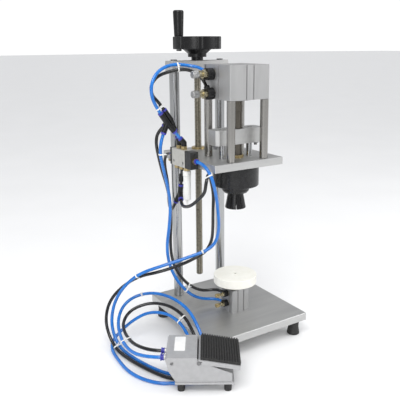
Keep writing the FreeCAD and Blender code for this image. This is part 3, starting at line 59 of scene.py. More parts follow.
HOSE_D = 0.008
ROUTES = {
    "hose_cylinder_top": [
        (-0.0655, 0.0273, 0.6656), (-0.0655, 0.0536, 0.6751), (-0.086, 0.076, 0.68),
        (-0.12, 0.082, 0.684), (-0.154, 0.08, 0.676), (-0.18, 0.075, 0.656), (-0.191, 0.07, 0.626),
        (-0.185, 0.066, 0.5954), (-0.1677, 0.066, 0.571)],
    "hose_cylinder_bottom": [
        (-0.0655, 0.0232, 0.6266), (-0.0655, 0.04, 0.649), (-0.08, 0.058, 0.666),
        (-0.104, 0.07, 0.673), (-0.134, 0.082, 0.667), (-0.163, 0.087, 0.658),
        (-0.182, 0.086, 0.638), (-0.183, 0.08, 0.614), (-0.1686, 0.072, 0.5976),
        (-0.1547, 0.072, 0.578)],
    "hose_lift_top": [
        (-0.1616, 0.066, 0.527), (-0.1704, 0.066, 0.5069), (-0.172, 0.068, 0.474),
        (-0.16, 0.072, 0.43), (-0.148, 0.076, 0.388), (-0.142, 0.077, 0.34), (-0.148, 0.076, 0.288),
        (-0.158, 0.074, 0.236), (-0.154, 0.068, 0.188), (-0.136, 0.06, 0.144),
        (-0.106, 0.054, 0.106), (-0.078, 0.05, 0.088), (-0.056, 0.046, 0.082),
        (-0.04, 0.036, 0.082), (-0.0328, 0.02, 0.083), (-0.0328, 0.0018, 0.083)],
    "hose_lift_bottom": [
        (-0.1451, 0.0902, 0.5412), (-0.1528, 0.1134, 0.5224), (-0.158, 0.115, 0.498),
        (-0.158, 0.106, 0.47), (-0.153, 0.097, 0.43), (-0.142, 0.092, 0.388), (-0.134, 0.091, 0.34),
        (-0.135, 0.089, 0.29), (-0.142, 0.084, 0.238), (-0.139, 0.079, 0.19), (-0.121, 0.072, 0.15),
        (-0.097, 0.063, 0.122), (-0.073, 0.054, 0.108), (-0.054, 0.046, 0.106),
        (-0.039, 0.034, 0.109), (-0.0328, 0.018, 0.11), (-0.0328, 0.0018, 0.11)],
    "hose_pilot": [
        (-0.113, 0, 0.463), (-0.113, -0.03, 0.463), (-0.109, -0.057, 0.441), (-0.098, -0.06, 0.398),
        (-0.084, -0.048, 0.35), (-0.073, -0.036, 0.304), (-0.078, -0.032, 0.268),
        (-0.097, -0.024, 0.248), (-0.126, -0.008, 0.236), (-0.16, 0.008, 0.224),
        (-0.202, 0.03, 0.21), (-0.242, 0.058, 0.192), (-0.27, 0.084, 0.16), (-0.291, 0.104, 0.116),
        (-0.302, 0.108, 0.066), (-0.304, 0.092, 0.03), (-0.3, 0.062, 0.007), (-0.294, 0.022, 0.004),
        (-0.284, -0.026, 0.004), (-0.268, -0.076, 0.004), (-0.251, -0.106, 0.004),
        (-0.229, -0.12, 0.004), (-0.205, -0.112, 0.006), (-0.189, -0.091, 0.011),
        (-0.177, -0.075, 0.034), (-0.173, -0.05, 0.056), (-0.172, -0.008, 0.072),
        (-0.184, 0.038, 0.08), (-0.216, 0.074, 0.076), (-0.25, 0.094, 0.054),
        (-0.282, 0.106, 0.026), (-0.308, 0.098, 0.008), (-0.322, 0.062, 0.004),
        (-0.326, 0.014, 0.004), (-0.328, -0.034, 0.004), (-0.317, -0.082, 0.004),
        (-0.292, -0.122, 0.004), (-0.261, -0.14, 0.004), (-0.232, -0.161, 0.004),
        (-0.2, -0.163, 0.004), (-0.177, -0.146, 0.005), (-0.165, -0.128, 0.008),
        (-0.157, -0.111, 0.013), (-0.152, -0.094, 0.036), (-0.149, -0.062, 0.07),
        (-0.147, -0.016, 0.098), (-0.158, 0.036, 0.112), (-0.184, 0.082, 0.118),
        (-0.218, 0.11, 0.112), (-0.25, 0.12, 0.098), (-0.276, 0.11, 0.08), (-0.298, 0.076, 0.067),
        (-0.312, 0.034, 0.058), (-0.319, -0.01, 0.052), (-0.317, -0.052, 0.052),
        (-0.301, -0.104, 0.063), (-0.2765, -0.1196, 0.063)],
    "hose_supply": [
        (-0.1215, 0.061, 0.361), (-0.13, 0.044, 0.35), (-0.131, 0.022, 0.35), (-0.13, -0.004, 0.36),
        (-0.124, -0.028, 0.38), (-0.118, -0.044, 0.397), (-0.116, -0.046, 0.419),
        (-0.105, -0.036, 0.435), (-0.089, -0.019, 0.435), (-0.078, -0.007, 0.419),
        (-0.072, -0.011, 0.382), (-0.076, -0.014, 0.34), (-0.077, -0.015, 0.3),
        (-0.076, -0.009, 0.264), (-0.088, -0.002, 0.236), (-0.114, 0.006, 0.222),
        (-0.14, 0.011, 0.213), (-0.17, 0.02, 0.204), (-0.206, 0.038, 0.193), (-0.238, 0.07, 0.18),
        (-0.266, 0.104, 0.15), (-0.297, 0.124, 0.11), (-0.313, 0.12, 0.064), (-0.315, 0.094, 0.028),
        (-0.311, 0.06, 0.007), (-0.305, 0.02, 0.004), (-0.295, -0.029, 0.004),
        (-0.279, -0.08, 0.004), (-0.263, -0.117, 0.004), (-0.235, -0.14, 0.004),
        (-0.203, -0.139, 0.005), (-0.184, -0.121, 0.007), (-0.173, -0.102, 0.012),
        (-0.164, -0.084, 0.036), (-0.16, -0.052, 0.062), (-0.158, -0.008, 0.084),
        (-0.17, 0.044, 0.094), (-0.2, 0.08, 0.096), (-0.236, 0.098, 0.086), (-0.262, 0.098, 0.074),
        (-0.284, 0.078, 0.063), (-0.296, 0.044, 0.058), (-0.302, 0.006, 0.058),
        (-0.303, -0.034, 0.06), (-0.2851, -0.0809, 0.063), (-0.2615, -0.096, 0.063)],
    "hose_inlet": [
        (-0.117, 0.092, 0.348), (-0.1201, 0.103, 0.3292), (-0.116, 0.122, 0.317),
        (-0.11, 0.142, 0.321), (-0.104, 0.156, 0.341), (-0.102, 0.16, 0.366),
        (-0.104, 0.162, 0.392), (-0.108, 0.164, 0.42), (-0.112, 0.158, 0.446),
        (-0.113, 0.139, 0.463), (-0.113, 0.114, 0.463)],
}


# ---------------------------------------------------------------- materials

BUMP_DEPTH = 0.0004
COAT_ROUGHNESS = 0.08


def add_node(tree, kind, **inputs):
    """A new shader node; an underscore in an input's name stands for a space."""
    node = tree.nodes.new("ShaderNode" + kind)
    for name, value in inputs.items():
        node.inputs[name.replace("_", " ")].default_value = value
    return node


def set_ramp(ramp, *stops):
    for element, (position, colour) in zip(ramp.color_ramp.elements, stops):
        element.position = position
        element.color = (*colour, 1)


def surface(name, colour, other, rough, metallic=0.0, scale=60.0, stretch=(1, 1, 1),
            bump=0.0, bump_scale=900.0, spread=0.08, coat=0.0, specular=0.5):
    """A material with mottled colour, uneven roughness and a fine bump."""
    material = bpy.data.materials.new(name)
    material.use_nodes = True
    tree = material.node_tree
    link = tree.links.new
    shader = tree.nodes["Principled BSDF"]
    for socket, value in (("Metallic", metallic), ("Coat Weight", coat),
                          ("Coat Roughness", COAT_ROUGHNESS), ("Specular IOR Level", specular)):
        shader.inputs[socket].default_value = value
    place = add_node(tree, "TexCoord")
    mapping = add_node(tree, "Mapping", Scale=stretch)
    link(place.outputs["Object"], mapping.inputs["Vector"])
    mottle = add_node(tree, "TexNoise", Scale=scale, Detail=5.0)
    link(mapping.outputs["Vector"], mottle.inputs["Vector"])
    ramp = add_node(tree, "ValToRGB")
    set_ramp(ramp, (0.34, other), (0.66, colour))
    link(mottle.outputs["Fac"], ramp.inputs["Fac"])
    link(ramp.outputs["Color"], shader.inputs["Base Color"])
    level = add_node(tree, "MapRange", From_Min=0.3, From_Max=0.7,
                     To_Min=max(0.02, rough - spread), To_Max=min(1.0, rough + spread))
    link(mottle.outputs["Fac"], level.inputs["Value"])
    link(level.outputs["Result"], shader.inputs["Roughness"])
    if bump:
        grain = add_node(tree, "TexNoise", Scale=bump_scale, Detail=3.0)
        link(mapping.outputs["Vector"], grain.inputs["Vector"])
        lift = add_node(tree, "Bump", Strength=bump, Distance=BUMP_DEPTH)
        link(grain.outputs["Fac"], lift.inputs["Height"])
        link(lift.outputs["Normal"], shader.inputs["Normal"])
    return material


# one look for each material slot of the record
LOOKS = {
    "plate_aluminium": dict(colour=(0.56, 0.56, 0.55), other=(0.51, 0.51, 0.505), rough=0.44,
                            metallic=0.85, scale=90, stretch=(0.06, 1, 1), bump=0.08,
                            bump_scale=700, spread=0.05),
    "rubber": dict(colour=(0.018, 0.018, 0.018), other=(0.028, 0.027, 0.026), rough=0.66,
                   scale=200, bump=0.3, bump_scale=1500),
    "chrome_steel": dict(colour=(0.42, 0.425, 0.43), other=(0.39, 0.395, 0.4), rough=0.2,
                         metallic=1.0, scale=40, stretch=(1, 1, 0.08), bump=0.015, bump_scale=300,
                         spread=0.02),
    "ground_steel": dict(colour=(0.37, 0.36, 0.34), other=(0.34, 0.33, 0.315), rough=0.22,
                         metallic=1.0, stretch=(1, 1, 0.08), bump=0.02, bump_scale=300,
                         spread=0.02),
    "screw_steel": dict(colour=(0.26, 0.26, 0.26), other=(0.16, 0.16, 0.165), rough=0.36,
                        metallic=1.0, scale=300, bump=0.15, bump_scale=1500),
    "brass": dict(colour=(0.58, 0.46, 0.24), other=(0.45, 0.35, 0.18), rough=0.3, metallic=1.0,
                  scale=160, bump=0.1),
    "black_plastic": dict(colour=(0.005, 0.005, 0.0055), other=(0.009, 0.009, 0.0095), rough=0.3,
                          scale=150, bump=0.1, bump_scale=2200, spread=0.05, specular=0.36),
    "dark_steel": dict(colour=(0.3, 0.28, 0.225), other=(0.21, 0.19, 0.15), rough=0.32,
                       metallic=1.0, scale=130, stretch=(1, 1, 5), bump=0.1, bump_scale=700),
    "block_aluminium": dict(colour=(0.44, 0.44, 0.44), other=(0.405, 0.405, 0.405), rough=0.46,
                            metallic=0.7, scale=100, stretch=(1, 1, 0.1), bump=0.06,
                            bump_scale=1200, spread=0.04),
    "black_steel": dict(colour=(0.006, 0.006, 0.0065), other=(0.012, 0.012, 0.013), rough=0.28,
                        scale=120, bump=0.08, bump_scale=1200, spread=0.05, specular=0.42),
    "nylon": dict(colour=(0.84, 0.83, 0.77), other=(0.79, 0.78, 0.71), rough=0.4, scale=50,
                  bump=0.08, spread=0.05),
    "knob_silver": dict(colour=(0.5, 0.5, 0.5), other=(0.38, 0.38, 0.38), rough=0.34,
                        metallic=1.0, scale=300, bump=0.2, bump_scale=1500),
    "valve_silver": dict(colour=(0.58, 0.57, 0.53), other=(0.51, 0.5, 0.465), rough=0.4,
                         metallic=0.45, scale=120, bump=0.15, bump_scale=1400),
    "valve_black": dict(colour=(0.014, 0.014, 0.014), other=(0.024, 0.024, 0.024), rough=0.4,
                        scale=150, bump=0.2, bump_scale=2000),
    "blue_tube": dict(colour=(0.006, 0.165, 0.56), other=(0.004, 0.125, 0.46), rough=0.16,
                      scale=40, bump=0.02, bump_scale=400, spread=0.03, coat=0.5),
    "black_tube": dict(colour=(0.002, 0.002, 0.0022), other=(0.004, 0.004, 0.0045), rough=0.2,
                       scale=40, bump=0.02, bump_scale=400, spread=0.03, coat=0.4),
    "collar_blue": dict(colour=(0.05, 0.05, 0.38), other=(0.035, 0.035, 0.3), rough=0.28,
                        scale=120, bump=0.05),
    "silencer_white": dict(colour=(0.8, 0.8, 0.77), other=(0.7, 0.7, 0.67), rough=0.7, scale=700,
                           bump=0.6, bump_scale=1600),
    "pedal_paint": dict(colour=(0.43, 0.43, 0.435), other=(0.39, 0.39, 0.395), rough=0.42,
                        metallic=0.3, scale=90, bump=0.25, bump_scale=420, spread=0.06, coat=0.2),
}
MATERIALS = {slot: surface(slot, **look) for slot, look in LOOKS.items()}
TIE_WHITE = surface("tie_white", colour=(0.82, 0.82, 0.8), other=(0.74, 0.74, 0.72), rough=0.4,
                    scale=300, bump=0.1)
BRASS_PALE = surface("brass_pale", colour=(0.5, 0.45, 0.31), other=(0.4, 0.36, 0.25), rough=0.26,
                     metallic=1.0, scale=160, bump=0.06)
ROD_DARK = surface("rod_dark", colour=(0.15, 0.135, 0.115), other=(0.11, 0.1, 0.085), rough=0.26,
                   metallic=1.0, stretch=(1, 1, 0.1), bump=0.02, bump_scale=400, spread=0.03)
LABEL_WHITE = surface("label_white", colour=(0.8, 0.8, 0.79), other=(0.74, 0.74, 0.73),
                      rough=0.35, scale=80, bump=0.05, bump_scale=400)
SLOT_OF = {s["node"]: s["material_slot"] for s in frame["record"]["subparts"]}


def reshade(node, material):
    """Give a CAD node that stays another material."""
    for place in frame["nodes"][node].material_slots:
        place.material = material


for node in frame["nodes"]:
    reshade(node, MATERIALS[SLOT_OF[node]])
reshade("guide_bush", MATERIALS["brass"])
reshade("piston_rod", ROD_DARK)
reshade("speed_stems", BRASS_PALE)
reshade("lift_flow_stems", BRASS_PALE)


# ---------------------------------------------------------------- mesh helpers

def new_object(name, data):
    obj = bpy.data.objects.new(name, data)
    bpy.context.collection.objects.link(obj)
    return obj


def mesh_from(name, bm):
    mesh = bpy.data.meshes.new(name)
    bm.to_mesh(mesh)
    bm.free()
    return mesh


def shade(obj, material):
    obj.data.materials.clear()
    obj.data.materials.append(material)


def piece_from(name, bm, slot, body=None, material=None, smooth=40):
    """A piece from a bmesh; it has the slot's own material unless another is given."""
    bmesh.ops.recalc_face_normals(bm, faces=bm.faces)
    mesh = mesh_from(name, bm)
    piece = new_object(name, mesh)
    mesh.shade_smooth()
    mesh.set_sharp_from_angle(angle=math.radians(smooth))
    shade(piece, material or MATERIALS[slot])
    if body:
        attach(piece, body)
    return piece


def skin(bm, rings, around=False):
    """Faces between neighbouring rings: around joins the last to the first, instead of two caps."""
    for low, high in zip(rings, rings[1:] + rings[:1] if around else rings[1:]):
        for k in range(len(low)):
            after = (k + 1) % len(low)
            bm.faces.new((low[k], low[after], high[after], high[k]))
    if not around:
        bm.faces.new(list(reversed(rings[0])))
        bm.faces.new(rings[-1])


def revolve(profile, at, direction, steps=48, wave=None, hollow=False):
    """A lathe form from (distance along, radius); a hollow one's profile is a closed outline."""
    bm = bmesh.new()
    turn = UP.rotation_difference(Vector(direction)).to_matrix()
    rings = []
    for along, radius in profile:
        ring = []
        for k in range(steps):
            angle = 2 * math.pi * k / steps
            r = radius * (1 + (wave(angle) if wave else 0))
            spot = turn @ Vector((r * math.cos(angle), r * math.sin(angle), along))
            ring.append(bm.verts.new(spot + Vector(at)))
        rings.append(ring)
    skin(bm, rings, hollow)
    return bm


# ---------------------------------------------------------------- hoses

def spline_object(name, points, bevel=0.0):
    curve = bpy.data.curves.new(name, "CURVE")
    curve.dimensions = "3D"
    spline = curve.splines.new("NURBS")
    spline.points.add(len(points) - 1)
    for place, point in zip(spline.points, points):
        place.co = (*point, 1)
    spline.order_u = 3
    spline.use_endpoint_u = True
    spline.resolution_u = 10
    curve.bevel_depth = bevel
    curve.bevel_resolution = 4
    curve.use_fill_caps = True
    return new_object(name, curve)


def line_of(points):
    """The smooth line that a route's spline gives."""
    guide = spline_object("guide", points)
    mesh = bpy.data.meshes.new_from_object(guide)
    line = [v.co.copy() for v in mesh.vertices]
    bpy.data.objects.remove(guide)
    bpy.data.meshes.remove(mesh)
    return line


# hoses that join the two bodies, with heights on the base and on the head; they stay fixed, on
# neither body
BLENDS = {
    "hose_lift_top": ((0, 0, 0.125), (0, 0, 0.50)),
    "hose_lift_bottom": ((0, 0, 0.125), (0, 0, 0.50)),
    "hose_pilot": ((0, 0, 0.13), (0, 0, 0.42)),
    "hose_supply": ((0, 0, 0.13), (0, 0, 0.35)),
}
LINES = {}


def make_hose(name, points):
    line = line_of(points)
    LINES[name] = line
    slot = SLOT_OF[name]
    piece = spline_object(name + "_piece", points, HOSE_D / 2)
    if name in BLENDS:
        mesh = bpy.data.meshes.new_from_object(piece)
        bpy.data.objects.remove(piece)
        piece = new_object(name + "_piece", mesh)
        mesh.shade_smooth()
    shade(piece, MATERIALS[slot])
    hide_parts(name)
    if name in BLENDS:
        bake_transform(piece)
    else:
        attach(piece, "head")


for name, points in ROUTES.items():
    make_hose(name, points)


# ---------------------------------------------------------------- cable ties

TIE_WIDTH, TIE_THICK = 0.003, 0.001
TIE_STEPS = 14
TIE_PLAY = 0.0001
TIE_HEAD, TIE_HEAD_UP = (0.0048, 0.0044, 0.0034), 0.0022
TIE_TAIL, TIE_TAIL_UP = (0.0010, 0.0024, 0.008), 0.0045
# a point near each tie, and the hoses that it goes round
TIES = [
    ((-0.112, 0.080, 0.683), "hose_cylinder_top", "hose_cylinder_bottom"),
    ((-0.176, 0.066, 0.583), "hose_cylinder_top", "hose_cylinder_bottom"),
    ((-0.171, 0.068, 0.475), "hose_lift_top", None),
    ((-0.114, 0.056, 0.117), "hose_lift_top", "hose_lift_bottom"),
    ((-0.108, -0.054, 0.438), "hose_pilot", "hose_supply"),
    ((-0.109, -0.017, 0.243), "hose_pilot", None),
    ((-0.249, 0.065, 0.183), "hose_pilot", "hose_supply"),
    ((-0.300, 0.066, 0.012), "hose_pilot", "hose_supply"),
    ((-0.317, 0.005, 0.054), "hose_pilot", "hose_supply"),
    ((-0.215, 0.106, 0.112), "hose_pilot", None),
    ((-0.173, -0.009, 0.070), "hose_pilot", "hose_supply"),
]


def nearest(line, spot):
    k = min(range(1, len(line) - 1), key=lambda n: (line[n] - spot).length_squared)
    return line[k], (line[k + 1] - line[k - 1]).normalized()


def add_box(bm, centre, axes, sizes):
    """A box with its own three directions."""
    halves = (-0.5, 0.5)
    corners = [bm.verts.new(centre + axes[0] * a * sizes[0] + axes[1] * b * sizes[1]
                            + axes[2] * c * sizes[2])
               for a in halves for b in halves for c in halves]
    for face in ((0, 1, 3, 2), (4, 6, 7, 5), (0, 4, 5, 1),
                 (2, 3, 7, 6), (0, 2, 6, 4), (1, 5, 7, 3)):
        bm.faces.new([corners[k] for k in face])


def make_tie(name, spot, first, second):
    """A strap round one hose or two, with its head and cut tail on the upper side."""
    here, along = nearest(LINES[first], Vector(spot))
    there = nearest(LINES[second], here)[0] if second else here
    across = there - here
    across -= along * across.dot(along)
    gap = across.length
    across = across.normalized() if gap > 1e-4 else along.orthogonal().normalized()
    side = along.cross(across)
    if side.z < 0:
        side = -side
    inner = HOSE_D / 2 + TIE_PLAY
    bm = bmesh.new()
    rings = []
    for end, start in ((1, -90), (0, 90)):
        for k in range(TIE_STEPS + 1):
            angle = math.radians(start + 180 * k / TIE_STEPS)
            out = across * math.cos(angle) + side * math.sin(angle)
            centre = here + across * gap * end
            rings.append([bm.verts.new(centre + out * (inner + t) + along * w)
                          for t, w in ((0, -TIE_WIDTH / 2), (0, TIE_WIDTH / 2),
                                       (TIE_THICK, TIE_WIDTH / 2), (TIE_THICK, -TIE_WIDTH / 2))])
    skin(bm, rings, around=True)
    bmesh.ops.remove_doubles(bm, verts=bm.verts, dist=1e-6)
    block = here + across * gap / 2 + side * (inner + TIE_HEAD_UP)
    add_box(bm, block, (across, along, side), TIE_HEAD)
    add_box(bm, block + side * TIE_TAIL_UP, (across, along, side), TIE_TAIL)
    tie = piece_from(name, bm, "nylon", None if first in BLENDS else "head", TIE_WHITE, 30)
    if first in BLENDS:
        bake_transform(tie)


for number, (spot, first, second) in enumerate(TIES, 1):
    make_tie("cable_tie_%02d" % number, spot, first, second)


# ---------------------------------------------------------------- lead screw

THREAD_PITCH, THREAD_R, THREAD_ROOT = 0.004, 0.009, 0.0077
THREAD_STEPS, RINGS_PER_TURN = 20, 8
SCREW_COLLAR_R, SCREW_COLLAR_H, SCREW_COLLAR_DROP = 0.013, 0.0098, 0.014
JOURNAL_R, JOURNAL_CHAMFER = 0.0058, 0.0006


def thread_radius(turn):
    """Trapezoid form of a lead screw's thread over one turn."""
    part = turn % 1.0
    knots = ((0.0, THREAD_R), (0.36, THREAD_R), (0.5, THREAD_ROOT), (0.86, THREAD_ROOT),
             (1.0, THREAD_R))
    for (a, ra), (b, rb) in zip(knots, knots[1:]):
        if part <= b:
            return ra + (rb - ra) * (part - a) / (b - a)
    return THREAD_R


def make_lead_screw():
    """The threaded screw, its collar under the top bar and its journal, in the CAD screw's place."""
    low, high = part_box("lead_screw")
    middle_x, middle_y = (low[0] + high[0]) / 2, (low[1] + high[1]) / 2
    collar_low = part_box("top_bar")[0][2] - SCREW_COLLAR_DROP
    bm = bmesh.new()
    rings = []
    count = int((collar_low - low[2]) / THREAD_PITCH * RINGS_PER_TURN)
    for n in range(count + 1):
        z = low[2] + (collar_low - low[2]) * n / count
        ring = []
        for k in range(THREAD_STEPS):
            r = thread_radius((z - low[2]) / THREAD_PITCH - k / THREAD_STEPS)
            if n < 3:  # a chamfer at the lower end
                r = min(r, THREAD_ROOT - 0.0004 + 0.0005 * n)
            angle = 2 * math.pi * k / THREAD_STEPS
            ring.append(bm.verts.new((middle_x + r * math.cos(angle),
                                      middle_y + r * math.sin(angle), z)))
        rings.append(ring)
    skin(bm, rings)
    piece_from("lead_screw_thread", bm, "dark_steel", "wheel", smooth=50)
    at = (middle_x, middle_y, collar_low)
    chamfered = SCREW_COLLAR_R - 0.0008
    collar = revolve([(0, chamfered), (0.0008, SCREW_COLLAR_R),
                      (SCREW_COLLAR_H - 0.0006, SCREW_COLLAR_R), (SCREW_COLLAR_H, chamfered)],
                     at, UP, 40)
    length = high[2] - collar_low
    shaft = revolve([(0, JOURNAL_R), (length - JOURNAL_CHAMFER, JOURNAL_R),
                     (length, JOURNAL_R - JOURNAL_CHAMFER)], at, UP, 32)
    piece_from("lead_screw_collar", collar, "dark_steel", "wheel")
    journal = piece_from("lead_screw_journal", shaft, "dark_steel", "wheel")
    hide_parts("lead_screw")


make_lead_screw()


# ---------------------------------------------------------------- short tubes at the valve

def connected_groups(bm):
    """The mesh's separate solids, each as a list of (point, vertex index)."""
    left = set(bm.verts)
    groups = []
    while left:
        group, front = set(), [next(iter(left))]
        while front:
            vert = front.pop()
            if vert in group:
                continue
            group.add(vert)
            front += [edge.other_vert(vert) for edge in vert.link_edges]
        left -= group
        groups.append([(v.co.copy(), v.index) for v in group])
    return groups


def make_valve_tubes():
    """The upper tube that leads on from the blue hose is blue, and the others are black."""
    whole = bmesh.new()
    whole.from_mesh(frame["nodes"]["valve_tubes"].data)
    groups = connected_groups(whole)
    faces = [[v.index for v in f.verts] for f in whole.faces]
    whole.free()
    groups.sort(key=lambda g: (round(min(p.z for p, _ in g), 3), min(p.y for p, _ in g)))
    top_z = max(max(p.z for p, _ in g) for g in groups)
    blue_done = False
    for number, group in enumerate(groups, 1):
        bm = bmesh.new()
        own = {index: bm.verts.new(point) for point, index in group}
        for face in faces:
            if face[0] in own:
                bm.faces.new([own[k] for k in face])
        blue = not blue_done and top_z - max(p.z for p, _ in group) < 0.02
        blue_done = blue_done or blue
        tube = piece_from("valve_tube_%d" % number, bm, "blue_tube" if blue else "black_tube",
                          "head")
        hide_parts("valve_tubes")


make_valve_tubes()


# ---------------------------------------------------------------- pedal trim

PEDAL_AT = Vector((-0.280, -0.166, 0))
PEDAL_TURN = Matrix.Rotation(math.radians(-32.5), 3, "Z")
PEDAL_TOP = 0.083
PORT_X, PORT_YS, PORT_Z = -0.0215, (0.041, 0.069), 0.063
PORT_HOLE = HOSE_D / 2 + 0.0002
LABEL_CENTRE, LABEL_SIZE = (0.0135, 0.064), (0.024, 0.062)
LABEL_CORNER, LABEL_THICK, LABEL_EDGE = 0.002, 0.0003, 0.0004
BUMPER_AT = (0.118, 0.012, 0.0255)


def on_pedal(x, y, z):
    return PEDAL_AT + PEDAL_TURN @ Vector((x, y, z))


def make_port_collars():
    outline = [(0, PORT_HOLE), (0, 0.0068), (0.0020, 0.0068), (0.0026, 0.0062), (0.0044, 0.0062),
               (0.0050, 0.0076), (0.0070, 0.0078), (0.0076, 0.0070), (0.0078, PORT_HOLE)]
    away = PEDAL_TURN @ Vector((-1, 0, 0))
    for number, y in enumerate(PORT_YS, 1):
        ring = revolve(outline, on_pedal(PORT_X, y, PORT_Z), away, 40, hollow=True)
        piece_from("pedal_collar_%d" % number, ring, "collar_blue", "base")


def make_label():
    """A blank label with rounded corners on the housing's top."""
    bm = bmesh.new()
    rings = []
    for z, inset in ((0.00002, 0), (LABEL_THICK, 0), (LABEL_THICK + 0.0001, LABEL_EDGE)):
        ring = []
        for sx, sy, start in ((1, 1, 0), (-1, 1, 90), (-1, -1, 180), (1, -1, 270)):
            corner_x = LABEL_CENTRE[0] + sx * (LABEL_SIZE[0] / 2 - LABEL_CORNER)
            corner_y = LABEL_CENTRE[1] + sy * (LABEL_SIZE[1] / 2 - LABEL_CORNER)
            for k in range(7):
                angle = math.radians(start + 15 * k)
                x = corner_x + (LABEL_CORNER - inset) * math.cos(angle)
                y = corner_y + (LABEL_CORNER - inset) * math.sin(angle)
                ring.append(bm.verts.new(on_pedal(x, y, PEDAL_TOP + z)))
        rings.append(ring)
    skin(bm, rings)
    piece_from("pedal_label", bm, "silencer_white", "base", LABEL_WHITE)


def make_pedal_screw(name, at, outward):
    """A countersunk cross-head screw in a shallow ring on the housing's side."""
    direction = PEDAL_TURN @ Vector((0, outward, 0))
    rim = [(-0.0002, 0.0046), (0.0003, 0.0046), (0.0006, 0.0042), (0.0006, 0.0036),
           (-0.0002, 0.0034)]
    ring = revolve(rim, at, direction, 40, hollow=True)
    piece_from(name + "_rim", ring, "knob_silver", "base")
    head = revolve([(-0.0002, 0.0032), (0.0004, 0.0032), (0.0009, 0.0026), (0.0011, 0.0014)],
                   at, direction, 32)
    side = direction.cross(UP)
    for a, b in ((side, UP), (UP, side)):
        add_box(head, at + direction * 0.00095, (a, b, direction), (0.0034, 0.0007, 0.0005))
    piece_from(name, head, "screw_steel", "base")


def make_bumper():
    outline = [(0, 0.0052), (0.012, 0.0050), (0.0155, 0.0044), (0.0170, 0.0030), (0.0174, 0.0012)]
    piece_from("pedal_bumper", revolve(outline, on_pedal(*BUMPER_AT), UP, 32), "rubber", "base")


make_port_collars()
make_label()
make_pedal_screw("pedal_screw_near", on_pedal(-0.002, 0.002, 0.070), -1)
make_pedal_screw("pedal_screw_far", on_pedal(-0.002, 0.104, 0.070), 1)
make_bumper()


# ---------------------------------------------------------------- knurled knobs

KNURLS, KNURL_DEPTH = 24, 0.03
# outline in shares of the knob's length and radius
KNOB_OUTLINE = [(0, 0.86), (0.06, 0.955), (0.10, 0.965), (0.45, 0.965), (0.50, 0.93),
                (0.55, 0.965), (0.88, 0.965), (0.93, 0.90), (1, 0.84)]


def knurl(angle):
    return KNURL_DEPTH * math.copysign(1, math.sin(KNURLS * angle + 0.01))


def make_knob(node, body, look):
    low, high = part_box(node)
    radius = (high[2] - low[2]) / 2
    length = high[0] - low[0]
    at = (low[0], (low[1] + high[1]) / 2, (low[2] + high[2]) / 2)
    knob = revolve([(a * length, r * radius) for a, r in KNOB_OUTLINE], at, (1, 0, 0),
                   4 * KNURLS, knurl)
    piece = piece_from(node + "_knurled", knob, "knob_silver", body, MATERIALS[look], 30)
    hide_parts(node)


for node, body, look in (("speed_knob_upper", "knob_cu", "knob_silver"),
                         ("speed_knob_lower", "knob_cl", "knob_silver"),
                         ("lift_knob_upper", "knob_lu", "brass"),
                         ("lift_knob_lower", "knob_ll", "brass")):
    make_knob(node, body, look)


# ---------------------------------------------------------------- softened edges

def soften(node, body, width):
    """A piece with the node's own shape and softly broken edges, in the node's place."""
    piece = new_object(node + "_soft_edged", frame["nodes"][node].data.copy())
    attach(piece, body)
    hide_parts(node)
    edge = piece.modifiers.new("soft_edge", "BEVEL")
    edge.width = width
    edge.segments = 2
    edge.limit_method = "ANGLE"
    edge.angle_limit = math.radians(50)
    edge.harden_normals = False


for node, body, width in (("pedal_housing", "base", 0.0010), ("pedal_lever", "lever", 0.0006),
                          ("base_plate", "base", 0.0005), ("head_plate", "head", 0.0005),
                          ("top_bar", "base", 0.0005), ("crosshead", "ram", 0.0006)):
    soften(node, body, width)


# ---------------------------------------------------------------- stage

WHITE = (1.0, 1.0, 1.0)
# name, place, aim, size in metres, power in watts
LIGHTS = (
    ("key", (-1.0, -0.9, 2.3), (0, 0, 0.35), (1.4, 0.9), 24),
    ("front", (-1.9, -1.7, 1.2), (0, 0, 0.4), (0.9, 1.2), 13),
    ("side", (1.7, -1.2, 1.5), (0, 0, 0.4), (0.8, 1.4), 15),
)
FLOOR_SIZE, FLOOR_GREY = 40, 0.86
CAMERA_AT = (-0.8052, -1.1333, 0.7310)
CAMERA_YAW, CAMERA_PITCH, CAMERA_ROLL = 32.796, 15.044, -0.345


def make_floor():
    bm = bmesh.new()
    bmesh.ops.create_grid(bm, x_segments=40, y_segments=40, size=FLOOR_SIZE)
    floor = new_object("floor", mesh_from("floor", bm))
    colour = (FLOOR_GREY,) * 3
    floor.data.materials.append(surface("floor_pale", colour, tuple(c * 0.985 for c in colour),
                                        rough=0.6, scale=3.0, bump=0.02, bump_scale=40,
                                        spread=0.03))


def area_light(name, place, aim, size, power):
    light = bpy.data.lights.new(name, "AREA")
    light.shape = "RECTANGLE"
    light.size, light.size_y = size
    light.energy = power
    obj = new_object(name, light)
    obj.location = place
    obj.rotation_euler = (Vector(aim) - Vector(place)).to_track_quat("-Z", "Y").to_euler()


def mix_colours(tree, factor, first, second):
    """A colour mix node's result; either colour is a socket or four numbers."""
    mix = tree.nodes.new("ShaderNodeMix")
    mix.data_type = "RGBA"
    tree.links.new(factor, mix.inputs["Factor"])
    for name, colour in (("A", first), ("B", second)):
        if isinstance(colour, tuple):
            mix.inputs[name].default_value = colour
        else:
            tree.links.new(colour, mix.inputs[name])
    return mix.outputs["Result"]


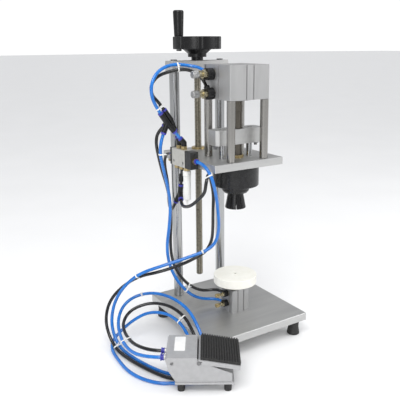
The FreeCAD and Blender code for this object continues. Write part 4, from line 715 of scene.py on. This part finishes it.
def make_world():
    """White for the eye, with dim and bright bands around the horizon for the metal to mirror."""
    world = bpy.data.worlds.new("studio")
    bpy.context.scene.world = world
    world.use_nodes = True
    tree = world.node_tree
    link = tree.links.new
    back = tree.nodes["Background"]
    place = add_node(tree, "TexCoord")
    bands = add_node(tree, "TexNoise", Scale=2.3, Detail=1.5)
    mapping = add_node(tree, "Mapping", Scale=(1, 1, 0.25), Location=(3.1, 0.4, 0))
    ramp = add_node(tree, "ValToRGB")
    set_ramp(ramp, (0.42, (0.09, 0.09, 0.095)), (0.58, WHITE))
    link(place.outputs["Generated"], mapping.inputs["Vector"])
    link(mapping.outputs["Vector"], bands.inputs["Vector"])
    link(bands.outputs["Fac"], ramp.inputs["Fac"])
    height = add_node(tree, "SeparateXYZ")
    link(place.outputs["Generated"], height.inputs["Vector"])
    dome = add_node(tree, "MapRange", From_Min=0.35, From_Max=0.75)
    link(height.outputs["Z"], dome.inputs["Value"])
    path = add_node(tree, "LightPath")
    sky = mix_colours(tree, dome.outputs["Result"], ramp.outputs["Color"], (0.95, 0.97, 1.0, 1))
    mirrored = mix_colours(tree, path.outputs["Is Glossy Ray"], (1.16, 1.17, 1.19, 1), sky)
    seen = mix_colours(tree, path.outputs["Is Camera Ray"], mirrored, (1.3, 1.3, 1.3, 1))
    link(seen, back.inputs["Color"])
    back.inputs["Strength"].default_value = 0.8


def make_camera():
    camera = bpy.data.cameras.new("camera")
    obj = new_object("camera", camera)
    yaw, pitch, roll = (math.radians(a) for a in (CAMERA_YAW, CAMERA_PITCH, CAMERA_ROLL))
    forward = Vector((math.sin(yaw) * math.cos(pitch), math.cos(yaw) * math.cos(pitch),
                      -math.sin(pitch)))
    right = Vector((math.cos(yaw), -math.sin(yaw), 0))
    up = right.cross(forward)
    across = right * math.cos(roll) + up * math.sin(roll)
    top = across.cross(forward)
    turn = Matrix((across, top, -forward)).transposed()
    obj.matrix_world = Matrix.Translation(CAMERA_AT) @ turn.to_4x4()
    camera.sensor_width = 36
    camera.lens = 51.98
    camera.shift_x = -0.0254
    camera.shift_y = -0.0043
    camera.clip_start = 0.02
    camera.clip_end = 50
    bpy.context.scene.camera = obj


make_floor()
make_world()
for light in LIGHTS:
    area_light(*light)
make_camera()
bpy.context.scene.view_settings.view_transform = "Standard"

bpy.context.view_layer.update()
